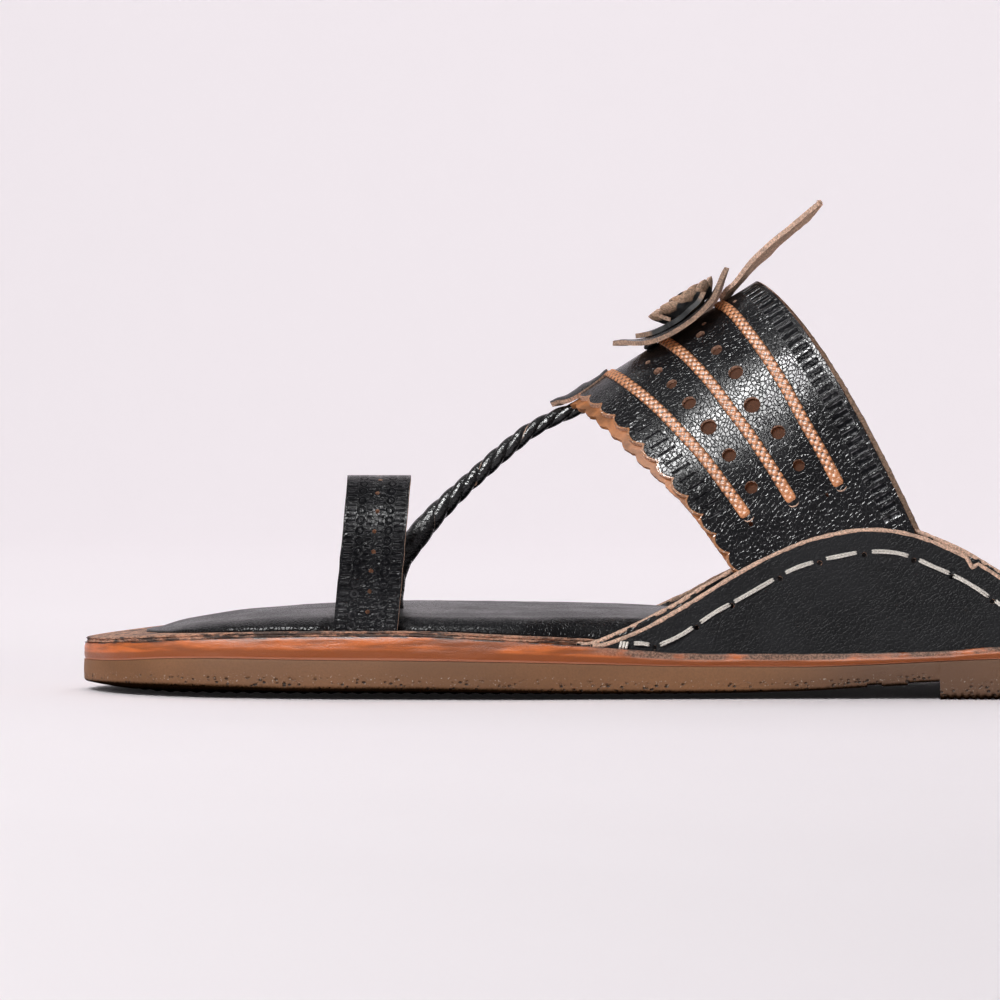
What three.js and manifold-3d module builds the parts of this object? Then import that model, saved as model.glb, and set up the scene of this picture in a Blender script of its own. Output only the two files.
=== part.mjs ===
// Kolhapuri sandal for the right foot, as an assembly of separate pieces.
// Millimetres, +Z up. The toe points to -X, the heel to +X, and the inner (medial) side is -Y.
// The origin is on the floor, under the middle of the sandal's box.
import * as THREE from 'three';
import { mergeVertices } from 'three/addons/utils/BufferGeometryUtils.js';
import Module from 'manifold-3d';

const wasm = await Module();
wasm.setup();

// ---------------------------------------------------------------- driving dimensions
const LENGTH = 270;            // sole, toe tip to heel end
const GAP = 0.3;               // clearance between pieces that lie on each other
const BREAST = 202;            // heel breast, from the toe tip
const TREAD_STEP = 0.45;       // depth of the tread's cross grooves in the waist
const STEP_WIDTH = 0.08;       // run of a groove's or the breast's steep side
const FLAT_SHARE = 0.5;        // share of the half width that is flat under the sole
const PAD_ROUND = 6;           // rounding of the footbed's edge
const PAD_CROWN = 0.9;         // how far the footbed falls from its middle to its sides

const LEATHER = 1.1;           // one layer of upper leather
const BAND_WALL = 2.4;         // black outer layer and its lining, sewn together
const WING_WALL = 3.2;         // the two layers of the side wing, with the band's end between
const WING_INSET = 2.0;        // wing's outer face, in from the sole's edge
const WING_LEAN = 0.085;       // how far the wing leans in, for each mm of height
const WING_PEAK_X = 51;        // where the wings are highest
// Each wing: from its highest point to its front and rear ends, and its height over the midsole.
const WINGS = {
  medial: { front: 64, rear: 55, rise: 28.4 },
  lateral: { front: 65, rear: 48, rise: 26 },
};
const WING_POWER = 1.4;        // fullness of its cosine curve

const NOSE = { x: -18.7, z: 68.5 };    // band's ridge in the middle of its wall, front end
const CREST = { x: 24.4, z: 95.6 };    // the same, rear end
const FRONT_DROP = 41.5;       // from the ridge to the wing, at the front edge
const REAR_DROP = 59.3;        // the same at the rear edge
const FRONT_SWEEP = 39.4;      // how far the front edge runs back as it drops
const REAR_SWEEP = 37.9;       // the same for the rear edge
const SWEEP_POWER = 0.72;      // how soon it runs back, below 1 is soon
const ARCH_POWER = 0.88;       // roundness of the band's arch, 1 is an ellipse
const BAND_TUCK = 9;           // hidden length of the band inside the wing

const LOOP_WIDTH = 14.7;       // toe loop's strap
const LOOP_WALL = 2.2;         // two layers of leather
const LOOP_X = -64.8;          // middle of the strap where it leaves the sole
const LOOP_Y = -30;            // middle of the loop
const LOOP_HALF = 16;          // half its width, to the middle of the wall
const LOOP_TOP = 50.1;         // its crown, to the middle of the wall
const LOOP_LEAN = 0.095;       // lean towards the heel, for each mm of height
const LOOP_SKEW = 3.2;         // its leg between the toes stands this far forward of the other

const CORD_RADIUS = 2.4;       // twisted cord
const FLOWER_X = 6.9;          // middle of the flower, along the band's ridge
const BASE_RADIUS = 15.6;      // its lowest layer
const PETAL_RADIUS = 10.2;     // the petal layer
const COIL_RADIUS = 7.3;       // the rolled rosette
const COIL_HEIGHT = 4.6;

// Outline of the sole: u from the toe tip, then the y of each edge.
const OUTLINE = [
  { u: 0, medial: -9, lateral: -9 },
  { u: 4, medial: -22, lateral: 4.5 },
  { u: 11, medial: -31.5, lateral: 15 },
  { u: 22, medial: -39.8, lateral: 26 },
  { u: 34, medial: -44.8, lateral: 34 },
  { u: 55, medial: -48, lateral: 42.5 },
  { u: 72, medial: -48.5, lateral: 46.3 },
  { u: 95, medial: -48, lateral: 48.5 },
  { u: 130, medial: -43, lateral: 46 },
  { u: 165, medial: -38.5, lateral: 40 },
  { u: 200, medial: -36.5, lateral: 37 },
  { u: 230, medial: -35.6, lateral: 36 },
  { u: 250, medial: -30.5, lateral: 30.8 },
  { u: 263, medial: -20, lateral: 20.2 },
  { u: 270, medial: 0, lateral: 0 },
];

// Heights along the sole: the rubber's underside at its rim and in the middle, then the top
// of rubber, midsole, insole board and footbed, and how far the footbed stays in from the edge.
const LEVELS = [
  { u: 0, rim: 2.1, middle: 2.1, rubber: 7.2, midsole: 11.0, board: 12.3, pad: 11.0, padInset: 12 },
  { u: 12, rim: 2.4, middle: 0.8, rubber: 8.0, midsole: 12.0, board: 13.4, pad: 13.0, padInset: 9 },
  { u: 24, rim: 2.5, middle: 0, rubber: 8.9, midsole: 12.9, board: 14.4, pad: 16.4, padInset: 5 },
  { u: 37, rim: 2.4, middle: 0, rubber: 9.2, midsole: 13.6, board: 15.1, pad: 18.2, padInset: 3 },
  { u: 55, rim: 2.1, middle: 0, rubber: 9.1, midsole: 14.2, board: 15.6, pad: 19.2, padInset: 2.5 },
  { u: 78, rim: 2.2, middle: 0, rubber: 9.0, midsole: 14.4, board: 15.8, pad: 19.7, padInset: 2.5 },
  { u: 101, rim: 1.9, middle: 0, rubber: 8.7, midsole: 13.5, board: 15.0, pad: 19.5, padInset: 2.5 },
  { u: 124, rim: 1.5, middle: 0, rubber: 8.1, midsole: 11.9, board: 13.5, pad: 19.2, padInset: 2.5 },
  { u: 147, rim: 1.5, middle: 0.2, rubber: 7.5, midsole: 10.4, board: 12.0, pad: 18.2, padInset: 2.5 },
  { u: 170, rim: 1.9, middle: 1.2, rubber: 7.4, midsole: 10.3, board: 11.8, pad: 17.4, padInset: 2.5 },
  { u: 186, rim: 2.8, middle: 2.4, rubber: 7.9, midsole: 10.5, board: 12.0, pad: 17.3, padInset: 2.5 },
  { u: 202, rim: 3.6, middle: 3.4, rubber: 8.7, midsole: 11.0, board: 12.5, pad: 17.6, padInset: 2.5 },
  { u: 216, rim: 3.9, middle: 3.7, rubber: 9.3, midsole: 12.0, board: 13.5, pad: 18.2, padInset: 2.5 },
  { u: 242, rim: 4.0, middle: 4.0, rubber: 10.0, midsole: 12.9, board: 14.4, pad: 19.0, padInset: 3 },
  { u: 270, rim: 4.0, middle: 4.0, rubber: 10.6, midsole: 13.6, board: 15.0, pad: 19.0, padInset: 5 },
];

// Grooves across the tread in front of the heel, from the toe tip.
const GROOVES = [
  { start: 185.2, end: 188.6 },
  { start: 194.6, end: BREAST },
];

// Middle of the twisted cord, from between the toes up to the band's nose.
const CORD_ROUTE = [
  { x: -61.6, y: -9.3, z: 16.9 },
  { x: -61.8, y: -9.3, z: 23 },
  { x: -60.3, y: -8.9, z: 30 },
  { x: -57.1, y: -8.5, z: 34.9 },
  { x: -52.7, y: -7.4, z: 40.4 },
  { x: -47.0, y: -6.2, z: 46.2 },
  { x: -41.0, y: -4.8, z: 51.7 },
  { x: -35.2, y: -3.4, z: 56.8 },
  { x: -29.6, y: -2.0, z: 61.2 },
  { x: -25.6, y: -0.9, z: 63.4 },
  { x: -22.0, y: -0.3, z: 65.0 },
];

// Leaf-shaped tab over the band's nose: its middle line and half width.
const TAB = [
  { x: -25.3, z: 68.2, half: 1.4 },
  { x: -21.8, z: 69.4, half: 3.4 },
  { x: -18.2, z: 71.5, half: 4.6 },
  { x: -15.0, z: 73.5, half: 3.8 },
  { x: -11.8, z: 75.6, half: 1.4 },
];

// Loose strip at the back of the flower: its middle line and half width.
const TAIL = [
  { x: 14.8, z: 92.3, half: 2.4 },
  { x: 18.0, z: 95.2, half: 3.8 },
  { x: 21.9, z: 99.8, half: 4.6 },
  { x: 27.0, z: 104.7, half: 4.8 },
  { x: 31.4, z: 108.4, half: 4.4 },
  { x: 35.2, z: 111.7, half: 3.4 },
  { x: 38.7, z: 115.3, half: 1.4 },
];

// ---------------------------------------------------------------- tables and outline
const UP = new THREE.Vector3(0, 0, 1);

// Monotone cubic through a table's column, over its key column.
function column(rows, key, name) {
  const x = rows.map((row) => row[key]);
  const y = rows.map((row) => row[name]);
  const slope = x.slice(1).map((value, i) => (y[i + 1] - y[i]) / (value - x[i]));
  const tangent = x.map((_, i) => {
    if (i === 0) return slope[0];
    if (i === x.length - 1) return slope[i - 1];
    if (slope[i - 1] * slope[i] <= 0) return 0;
    return (2 * slope[i - 1] * slope[i]) / (slope[i - 1] + slope[i]);
  });
  return (at) => {
    const found = x.findIndex((value) => value >= at);
    const i = Math.min(Math.max(found < 0 ? x.length - 1 : found, 1), x.length - 1);
    const width = x[i] - x[i - 1];
    const t = Math.min(Math.max((at - x[i - 1]) / width, 0), 1);
    const rise = y[i] - y[i - 1];
    const early = width * tangent[i - 1] - rise;
    const late = rise - width * tangent[i];
    return y[i - 1] + rise * t + t * (1 - t) * (early * (1 - t) + late * t);
  };
}

// The outline is interpolated over an angle that is 0 at the toe and pi at the heel,
// which rounds both ends.
const turnAt = (u) => Math.acos(1 - (2 * Math.min(Math.max(u, 0), LENGTH)) / LENGTH);
const turned = OUTLINE.map((row) => ({ ...row, turn: turnAt(row.u) }));
const EDGE = {
  medial: column(turned, 'turn', 'medial'),
  lateral: column(turned, 'turn', 'lateral'),
};
const level = {};
for (const name of Object.keys(LEVELS[0]).slice(1)) level[name] = column(LEVELS, 'u', name);

const TIP = 1e-6;              // the outline's two ends are single points

const between = (from, to, share) => from + (to - from) * share;

const smooth = (t) => {
  const s = Math.min(Math.max(t, 0), 1);
  return s * s * (3 - 2 * s);
};

// Point on the sole's edge, moved in along the edge's own normal.
function edgePoint(u, side, inset) {
  const turn = turnAt(u);
  const step = 0.002;
  const at = (angle) => {
    const along = Math.min(Math.max(angle, 0), Math.PI);
    const x = (-LENGTH / 2) * Math.cos(along);
    return new THREE.Vector2(x, EDGE[side](along));
  };
  const tangent = at(turn + step).sub(at(turn - step)).normalize();
  const sign = side === 'medial' ? 1 : -1;
  return at(turn).add(new THREE.Vector2(-tangent.y * sign, tangent.x * sign).multiplyScalar(inset));
}

// ---------------------------------------------------------------- solids from grids
// Closed body between two grids of points with the same rows and columns.
function bodyBetween(lower, upper) {
  const rows = lower.length;
  const cols = lower[0].length;
  const positions = [...lower.flat(), ...upper.flat()].flatMap((p) => [p.x, p.y, p.z]);
  const shift = rows * cols;
  const index = [];
  const quad = (a, b, c, d) => index.push(a, b, c, a, c, d);
  for (let i = 0; i + 1 < rows; i += 1) {
    for (let j = 0; j + 1 < cols; j += 1) {
      const a = i * cols + j;
      quad(a, a + 1, a + cols + 1, a + cols);
      quad(shift + a, shift + a + cols, shift + a + cols + 1, shift + a + 1);
    }
  }
  for (let i = 0; i + 1 < rows; i += 1) {
    const a = i * cols;
    const b = a + cols - 1;
    quad(a, a + cols, shift + a + cols, shift + a);
    quad(b + cols, b, shift + b, shift + b + cols);
  }
  for (let j = 0; j + 1 < cols; j += 1) {
    const b = (rows - 1) * cols + j;
    quad(j + 1, j, shift + j, shift + j + 1);
    quad(b, b + 1, shift + b + 1, shift + b);
  }
  return closedGeometry(positions, index);
}

// Merges doubles, drops flat triangles and turns the faces outwards.
function closedGeometry(positions, index) {
  const raw = new THREE.BufferGeometry();
  raw.setAttribute('position', new THREE.Float32BufferAttribute(positions, 3));
  raw.setIndex(index);
  const merged = mergeVertices(raw, 1e-3);
  const old = merged.index.array;
  let faces = [];
  for (let i = 0; i < old.length; i += 3) {
    const [a, b, c] = [old[i], old[i + 1], old[i + 2]];
    if (a !== b && b !== c && c !== a) faces.push([a, b, c]);
  }
  const corner = (i) => new THREE.Vector3().fromBufferAttribute(merged.attributes.position, i);
  const volume = faces.reduce(
    (sum, [a, b, c]) => sum + corner(a).dot(corner(b).cross(corner(c))), 0);
  if (volume < 0) faces = faces.map(([a, b, c]) => [a, c, b]);
  merged.setIndex(faces.flat());
  return merged;
}

// Sheet of even thickness around a grid of points on its middle surface.
function sheet(grid, thickness) {
  const rows = grid.length;
  const cols = grid[0].length;
  const normal = (i, j) => {
    const [up, down] = [grid[Math.min(i + 1, rows - 1)][j], grid[Math.max(i - 1, 0)][j]];
    const [right, left] = [grid[i][Math.min(j + 1, cols - 1)], grid[i][Math.max(j - 1, 0)]];
    return up.clone().sub(down).cross(right.clone().sub(left)).normalize();
  };
  const moved = (side) => grid.map((row, i) => row.map(
    (p, j) => p.clone().addScaledVector(normal(i, j), (side * thickness) / 2)));
  return bodyBetween(moved(-1), moved(1));
}

const range = (count, from, to) => Array.from(
  { length: count }, (_, i) => from + ((to - from) * i) / (count - 1));

// A geometry with only its positions, and each corner once.
function merge(geometry) {
  const bare = geometry.clone();
  bare.deleteAttribute('normal');
  bare.deleteAttribute('uv');
  return mergeVertices(bare, 1e-3);
}

function closed(geometry) {
  const merged = merge(geometry);
  return closedGeometry(Array.from(merged.attributes.position.array), Array.from(merged.index.array));
}

function toSolid(geometry) {
  const merged = merge(geometry);
  const vertProperties = new Float32Array(merged.attributes.position.array);
  const triVerts = new Uint32Array(merged.index.array);
  return new wasm.Manifold(new wasm.Mesh({ numProp: 3, vertProperties, triVerts }));
}

function fromSolid(solid) {
  const mesh = solid.getMesh();
  return closedGeometry(Array.from(mesh.vertProperties), Array.from(mesh.triVerts));
}

const cut = (geometry, tools) => fromSolid(
  tools.reduce((left, tool) => left.subtract(toSolid(tool)), toSolid(geometry)));

const join = (pieces) => fromSolid(
  pieces.slice(1).reduce((whole, piece) => whole.add(toSolid(piece)), toSolid(pieces[0])));

// ---------------------------------------------------------------- sole stack
// A plate of the sole: rows of points across it, at the given heights.
function plate({ stations, across, inset, bottom, top }) {
  const layer = (height) => stations.map((u) => {
    const medial = edgePoint(u, 'medial', inset(u));
    const lateral = edgePoint(u, 'lateral', inset(u));
    if (u < TIP || u > LENGTH - TIP) lateral.copy(medial);
    const half = medial.distanceTo(lateral) / 2;
    return across.map((v) => {
      const p = medial.clone().lerp(lateral, (v + 1) / 2);
      return new THREE.Vector3(p.x, p.y, height(p.x + LENGTH / 2, v, (1 - Math.abs(v)) * half));
    });
  });
  return bodyBetween(layer(bottom), layer(top));
}

const stationsBy = (count) => range(count, 0, Math.PI).map((a) => (LENGTH / 2) * (1 - Math.cos(a)));
const evenAcross = range(9, -1, 1);
const edgeAcross = range(11, -1, 1).map((t) => Math.sin((Math.PI / 2) * t));
const noInset = () => 0;

// Underside of the rubber: flat in the middle, lifted at the rim, stepped by grooves and heel.
function rubberUnderside(u, v) {
  const beyond = (step) => u > step + STEP_WIDTH / 2;
  if (beyond(BREAST)) return 0;
  const outer = Math.max(Math.abs(v) - FLAT_SHARE, 0) / (1 - FLAT_SHARE);
  const middle = level.middle(u);
  const lifted = middle + (level.rim(u) - middle) * outer ** 1.5;
  const grooved = GROOVES.some((groove) => beyond(groove.start) && !beyond(groove.end));
  return lifted + (grooved ? TREAD_STEP : 0);
}

function outsoleGeometry() {
  const steps = GROOVES.flatMap(({ start, end }) => [start, start + STEP_WIDTH, end, end + STEP_WIDTH]);
  const smoothRows = stationsBy(40).filter((u) => steps.every((s) => Math.abs(s - u) > 1));
  const stations = [...smoothRows, ...steps].sort((a, b) => a - b);
  const top = (u) => level.rubber(u);
  return plate({ stations, across: evenAcross, inset: noInset, bottom: rubberUnderside, top });
}

function midsoleGeometry() {
  return plate({
    stations: stationsBy(38),
    across: evenAcross,
    inset: noInset,
    bottom: (u) => level.rubber(u) + GAP,
    top: (u) => level.midsole(u),
  });
}

// 0 away from the wings, 1 beside them.
function besideWing(u) {
  const x = u - LENGTH / 2;
  const front = WING_PEAK_X - WINGS.medial.front;
  const rear = WING_PEAK_X + WINGS.medial.rear;
  return smooth((x - front + 16) / 15) * smooth((rear + 16 - x) / 15);
}

const wingRoom = WING_INSET + WING_WALL + 3 * GAP;
const boardInset = (u) => 0.4 + (wingRoom - 0.4) * besideWing(u);
const padInset = (u) => {
  const open = level.padInset(u);
  return open + (Math.max(wingRoom + 0.8, open) - open) * besideWing(u);
};

function slotTools() {
  return ['medial', 'lateral'].map((side) => {
    const room = new THREE.BoxGeometry(LOOP_WIDTH + 4 * GAP, LOOP_WALL + 2 * GAP, 20);
    const inner = side === 'lateral';
    const y = LOOP_Y + (inner ? LOOP_HALF : -LOOP_HALF);
    return room.translate(LOOP_X - (inner ? LOOP_SKEW : 0), y, 16);
  });
}

function boardGeometry() {
  const whole = plate({
    stations: stationsBy(44),
    across: evenAcross,
    inset: boardInset,
    bottom: (u) => level.midsole(u) + GAP,
    top: (u) => level.board(u),
  });
  return cut(whole, slotTools());
}

// Footbed: a pad that rounds down to a thin edge all round.
function padTop(u, v, fromEdge) {
  const thin = 0.5;
  const base = level.board(u) + GAP + thin;
  const t = Math.min(fromEdge / PAD_ROUND, 1);
  const rounding = Math.sqrt(1 - (1 - t) ** 2);
  return base + Math.max(level.pad(u) - PAD_CROWN * v * v - base, 0.1) * rounding;
}

function footbedGeometry() {
  const whole = plate({
    stations: stationsBy(44),
    across: edgeAcross,
    inset: padInset,
    bottom: (u) => level.board(u) + GAP,
    top: padTop,
  });
  return cut(whole, [...slotTools(), cordGeometry(CORD_RADIUS + GAP, 4)]);
}

// ---------------------------------------------------------------- upper
const wingTop = (x, side) => {
  const { front, rear, rise } = WINGS[side];
  const share = Math.min(Math.abs(x - WING_PEAK_X) / (x < WING_PEAK_X ? front : rear), 1);
  return level.midsole(x + LENGTH / 2) + rise * Math.cos((Math.PI / 2) * share) ** WING_POWER;
};

// Middle of the wing's wall, at a place along the sole and a height.
function wingY(x, z, side) {
  const base = level.midsole(x + LENGTH / 2);
  const inset = WING_INSET + WING_WALL / 2 + WING_LEAN * (z - base);
  const edge = EDGE[side](turnAt(x + LENGTH / 2));
  return edge - Math.sign(edge) * inset;
}

function wingGeometry(side) {
  const low = 1.2;
  const { front, rear } = WINGS[side];
  const columns = range(29, WING_PEAK_X - front, WING_PEAK_X + rear);
  const grid = columns.map((x) => {
    const base = level.midsole(x + LENGTH / 2) + GAP;
    const top = Math.max(wingTop(x, side), base + low);
    return range(4, base, top).map((z) => new THREE.Vector3(x, wingY(x, z, side), z));
  });
  return sheet(grid, WING_WALL);
}

// Point of the band: w runs along the ridge, angle from the ridge (0) down to the wing.
function bandPoint(w, angle, side) {
  const share = 1 - Math.cos(angle) ** ARCH_POWER;
  const drop = between(FRONT_DROP, REAR_DROP, w);
  const sweep = between(FRONT_SWEEP, REAR_SWEEP, w);
  const ridge = { x: between(NOSE.x, CREST.x, w), z: between(NOSE.z, CREST.z, w) };
  const x = ridge.x + sweep * share ** SWEEP_POWER;
  const endY = wingY(ridge.x + sweep, ridge.z - drop, side);
  return new THREE.Vector3(x, endY * Math.sin(angle) ** ARCH_POWER, ridge.z - drop * share);
}

function bandGeometry() {
  const half = (w, side) => {
    const arch = range(13, 0, Math.PI / 2).map((angle) => bandPoint(w, angle, side));
    const end = arch[arch.length - 1];
    const slant = SWEEP_POWER * between(FRONT_SWEEP / FRONT_DROP, REAR_SWEEP / REAR_DROP, w);
    const tucked = [0.5, 1].map((part) => {
      const down = BAND_TUCK * part;
      const x = end.x + slant * down;
      return new THREE.Vector3(x, wingY(x, end.z - down, side), end.z - down);
    });
    return [...arch, ...tucked];
  };
  const grid = range(9, 0, 1).map((w) => [
    ...half(w, 'medial').reverse(),
    ...half(w, 'lateral').slice(1),
  ]);
  return sheet(grid, BAND_WALL);
}

const upperGeometry = () => join([bandGeometry(), wingGeometry('medial'), wingGeometry('lateral')]);

// ---------------------------------------------------------------- toe loop and cord
function loopGeometry() {
  const foot = level.midsole(LOOP_X + LENGTH / 2) + GAP;
  const roundness = 0.72;
  const grid = range(25, -1, 1).map((t) => {
    const angle = (Math.PI / 2) * t;
    const z = foot + (LOOP_TOP - foot) * Math.cos(angle) ** roundness;
    const y = LOOP_Y + LOOP_HALF * Math.sign(t) * Math.abs(Math.sin(angle)) ** roundness;
    const skew = (LOOP_SKEW * (y - LOOP_Y + LOOP_HALF)) / (2 * LOOP_HALF);
    const middle = LOOP_X + LOOP_LEAN * (z - foot) - skew;
    return range(3, -LOOP_WIDTH / 2, LOOP_WIDTH / 2).map((x) => new THREE.Vector3(middle + x, y, z));
  });
  return sheet(grid, LOOP_WALL);
}

function cordGeometry(radius, extraDepth) {
  const points = CORD_ROUTE.map((p) => new THREE.Vector3(p.x, p.y, p.z));
  if (extraDepth) points.unshift(points[0].clone().addScaledVector(UP, -extraDepth));
  const section = new THREE.Shape();
  section.absarc(0, 0, radius, 0, 2 * Math.PI);
  return closed(new THREE.ExtrudeGeometry(section, {
    steps: 24,
    curveSegments: 5,
    bevelEnabled: false,
    extrudePath: new THREE.CatmullRomCurve3(points, false, 'centripetal'),
  }));
}

// ---------------------------------------------------------------- ornaments on the band
// Frame on the ridge: along it, across it and up from it.
const SLOPE = Math.atan2(CREST.z - NOSE.z, CREST.x - NOSE.x);
const ALONG = new THREE.Vector3(Math.cos(SLOPE), 0, Math.sin(SLOPE));
const ACROSS = new THREE.Vector3(0, 1, 0);
const OUT = new THREE.Vector3(-Math.sin(SLOPE), 0, Math.cos(SLOPE));
const RIDGE_AT_FLOWER = new THREE.Vector3(
  FLOWER_X, 0, NOSE.z + (FLOWER_X - NOSE.x) * Math.tan(SLOPE));

const fromRidge = (along, across, out) => RIDGE_AT_FLOWER.clone()
  .addScaledVector(ALONG, along).addScaledVector(ACROSS, across).addScaledVector(OUT, out);

// Round leather disc with a wavy rim, dished upwards. A square grid is mapped onto it.
function disc({ radius, lobes, wave, dish, height, count }) {
  const side = range(count, -1, 1);
  const grid = side.map((s) => side.map((t) => {
    const a = s * Math.sqrt(1 - (t * t) / 2);
    const b = t * Math.sqrt(1 - (s * s) / 2);
    const share = Math.hypot(a, b);
    const angle = Math.atan2(b, a);
    const reach = radius * (1 + wave * share * Math.cos(lobes * angle));
    return fromRidge(a * reach, b * reach, height + dish * share ** 2);
  }));
  return sheet(grid, LEATHER);
}

const BASE_HEIGHT = BAND_WALL / 2 + GAP + LEATHER / 2 + 0.1;
const PETAL_HEIGHT = BASE_HEIGHT + LEATHER + GAP + 0.1;
const COIL_BASE = PETAL_HEIGHT + LEATHER / 2 + GAP;

function flowerBaseGeometry() {
  return disc({
    radius: BASE_RADIUS, lobes: 6, wave: 0.035, dish: 4.2, height: BASE_HEIGHT, count: 11,
  });
}

function flowerPetalsGeometry() {
  return disc({
    radius: PETAL_RADIUS, lobes: 8, wave: 0.08, dish: 2.4, height: PETAL_HEIGHT, count: 11,
  });
}

// Rosette of a rolled strip: a low round button with a stepped, rounded top.
function flowerCoilGeometry() {
  const profile = [
    [0, 0], [COIL_RADIUS * 0.4, 0.3], [COIL_RADIUS, 1.5], [COIL_RADIUS, COIL_HEIGHT * 0.6],
    [COIL_RADIUS * 0.82, COIL_HEIGHT * 0.8], [COIL_RADIUS * 0.45, COIL_HEIGHT], [0, COIL_HEIGHT],
  ].map(([r, z]) => new THREE.Vector2(r, z));
  const lathe = new THREE.LatheGeometry(profile, 20);
  lathe.rotateX(Math.PI / 2);
  lathe.rotateY(-SLOPE);
  const place = fromRidge(0, 0, COIL_BASE);
  lathe.translate(place.x, place.y, place.z);
  return closed(lathe);
}

// Flat strip of leather that follows a table's middle line in the sandal's long plane.
function stripGeometry(rows, tilt) {
  const numbered = rows.map((row, i) => ({ ...row, i }));
  const [lineX, lineZ, half] = ['x', 'z', 'half'].map((name) => column(numbered, 'i', name));
  const grid = range(2 * rows.length - 1, 0, rows.length - 1).map((i) => range(5, -1, 1).map((t) => {
    const across = t * half(i);
    return new THREE.Vector3(lineX(i), across * Math.cos(tilt), lineZ(i) + across * Math.sin(tilt));
  }));
  return sheet(grid, LEATHER);
}

// ---------------------------------------------------------------- assembly
const finish = (color, roughness) => new THREE.MeshStandardMaterial(
  { color, roughness, metalness: 0 });
const rubber = finish(0x75614a, 0.85);
const vegetableTan = finish(0xb5662f, 0.55);
const rawBoard = finish(0xb58a62, 0.85);
const padLeather = finish(0x1f2023, 0.4);
const blackLeather = finish(0x27282b, 0.45);
const rawTan = finish(0xa98060, 0.9);

const PIECES = [
  { name: 'outsole', geometry: outsoleGeometry(), material: rubber },
  { name: 'midsole', geometry: midsoleGeometry(), material: vegetableTan },
  { name: 'insole_board', geometry: boardGeometry(), material: rawBoard },
  { name: 'footbed', geometry: footbedGeometry(), material: padLeather },
  { name: 'upper', geometry: upperGeometry(), material: blackLeather },
  { name: 'toe_loop', geometry: loopGeometry(), material: blackLeather },
  { name: 'toe_cord', geometry: cordGeometry(CORD_RADIUS, 0), material: blackLeather },
  { name: 'nose_tab', geometry: stripGeometry(TAB, 0), material: blackLeather },
  { name: 'flower_base', geometry: flowerBaseGeometry(), material: blackLeather },
  { name: 'flower_petals', geometry: flowerPetalsGeometry(), material: rawTan },
  { name: 'flower_coil', geometry: flowerCoilGeometry(), material: rawTan },
  { name: 'flower_tail', geometry: stripGeometry(TAIL, -0.17), material: rawTan },
];

const sandal = new THREE.Group();
for (const { name, geometry, material } of PIECES) {
  const mesh = new THREE.Mesh(geometry, material);
  mesh.name = name;
  sandal.add(mesh);
}

export default sandal;
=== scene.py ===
"""Visible pieces of a kolhapuri sandal, built around its packed frame.

Surfaces are worked out in millimetres, in the frame's axes: toe to -X, heel to +X, inner side to -Y.
"""

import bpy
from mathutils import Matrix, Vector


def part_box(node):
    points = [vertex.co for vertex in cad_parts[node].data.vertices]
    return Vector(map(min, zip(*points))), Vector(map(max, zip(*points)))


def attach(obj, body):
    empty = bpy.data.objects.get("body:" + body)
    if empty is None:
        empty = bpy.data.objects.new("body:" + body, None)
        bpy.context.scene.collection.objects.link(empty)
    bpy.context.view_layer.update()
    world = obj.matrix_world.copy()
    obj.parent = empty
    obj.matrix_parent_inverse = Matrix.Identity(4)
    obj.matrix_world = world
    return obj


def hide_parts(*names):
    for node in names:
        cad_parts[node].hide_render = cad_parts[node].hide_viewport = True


bl_info = {
    "name": "Kolhapuri Sandal",
    "version": (1, 0, 0),
    "blender": (4, 5, 0),
    "location": "3D View > Sidebar > Sandal",
    "description": "Builds the leather, rubber and thread of a kolhapuri sandal around its frame",
    "category": "Add Mesh",
}

import math

import bmesh
import bpy
import numpy as np
from mathutils import Vector

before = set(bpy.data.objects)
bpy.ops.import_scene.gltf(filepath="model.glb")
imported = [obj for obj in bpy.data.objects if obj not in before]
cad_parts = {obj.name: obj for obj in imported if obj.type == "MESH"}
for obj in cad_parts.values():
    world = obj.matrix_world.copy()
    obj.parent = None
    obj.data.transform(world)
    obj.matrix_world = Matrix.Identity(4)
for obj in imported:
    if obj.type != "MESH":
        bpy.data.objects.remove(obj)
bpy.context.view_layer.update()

MM = 0.001
LENGTH = (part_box("outsole")[1].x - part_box("outsole")[0].x) / MM
HALF = LENGTH / 2             # x = u - HALF, with u from the toe tip
OUTWARD = {"medial": -1, "lateral": 1}
UP = np.array([0, 0, 1.0])
ACROSS = np.array([0, 1.0, 0])
LATTICE = 97                  # random heights along each side of the lattice of wander()
MERGE = 2e-6                  # points closer than this are one, in metres
SHARP = 0.9                   # edges of the sole's layers stay sharp past this angle, in radians
BELOW, ABOVE = -0.2, 1.2      # rise of the rows under a side wall and over it

# ---------------------------------------------------------------- driving sizes of the sandal
# Outline of the sole: u from the toe tip, then the y of each edge.
OUTLINE = {
    "u": [0, 4, 11, 22, 34, 55, 72, 95, 130, 165, 200, 230, 250, 263, 270],
    "medial": [-9, -22, -31.5, -39.8, -44.8, -48, -48.5, -48, -43, -38.5, -36.5, -35.6, -30.5, -20, 0],
    "lateral": [-9, 4.5, 15, 26, 34, 42.5, 46.3, 48.5, 46, 40, 37, 36, 30.8, 20.2, 0],
}
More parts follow.
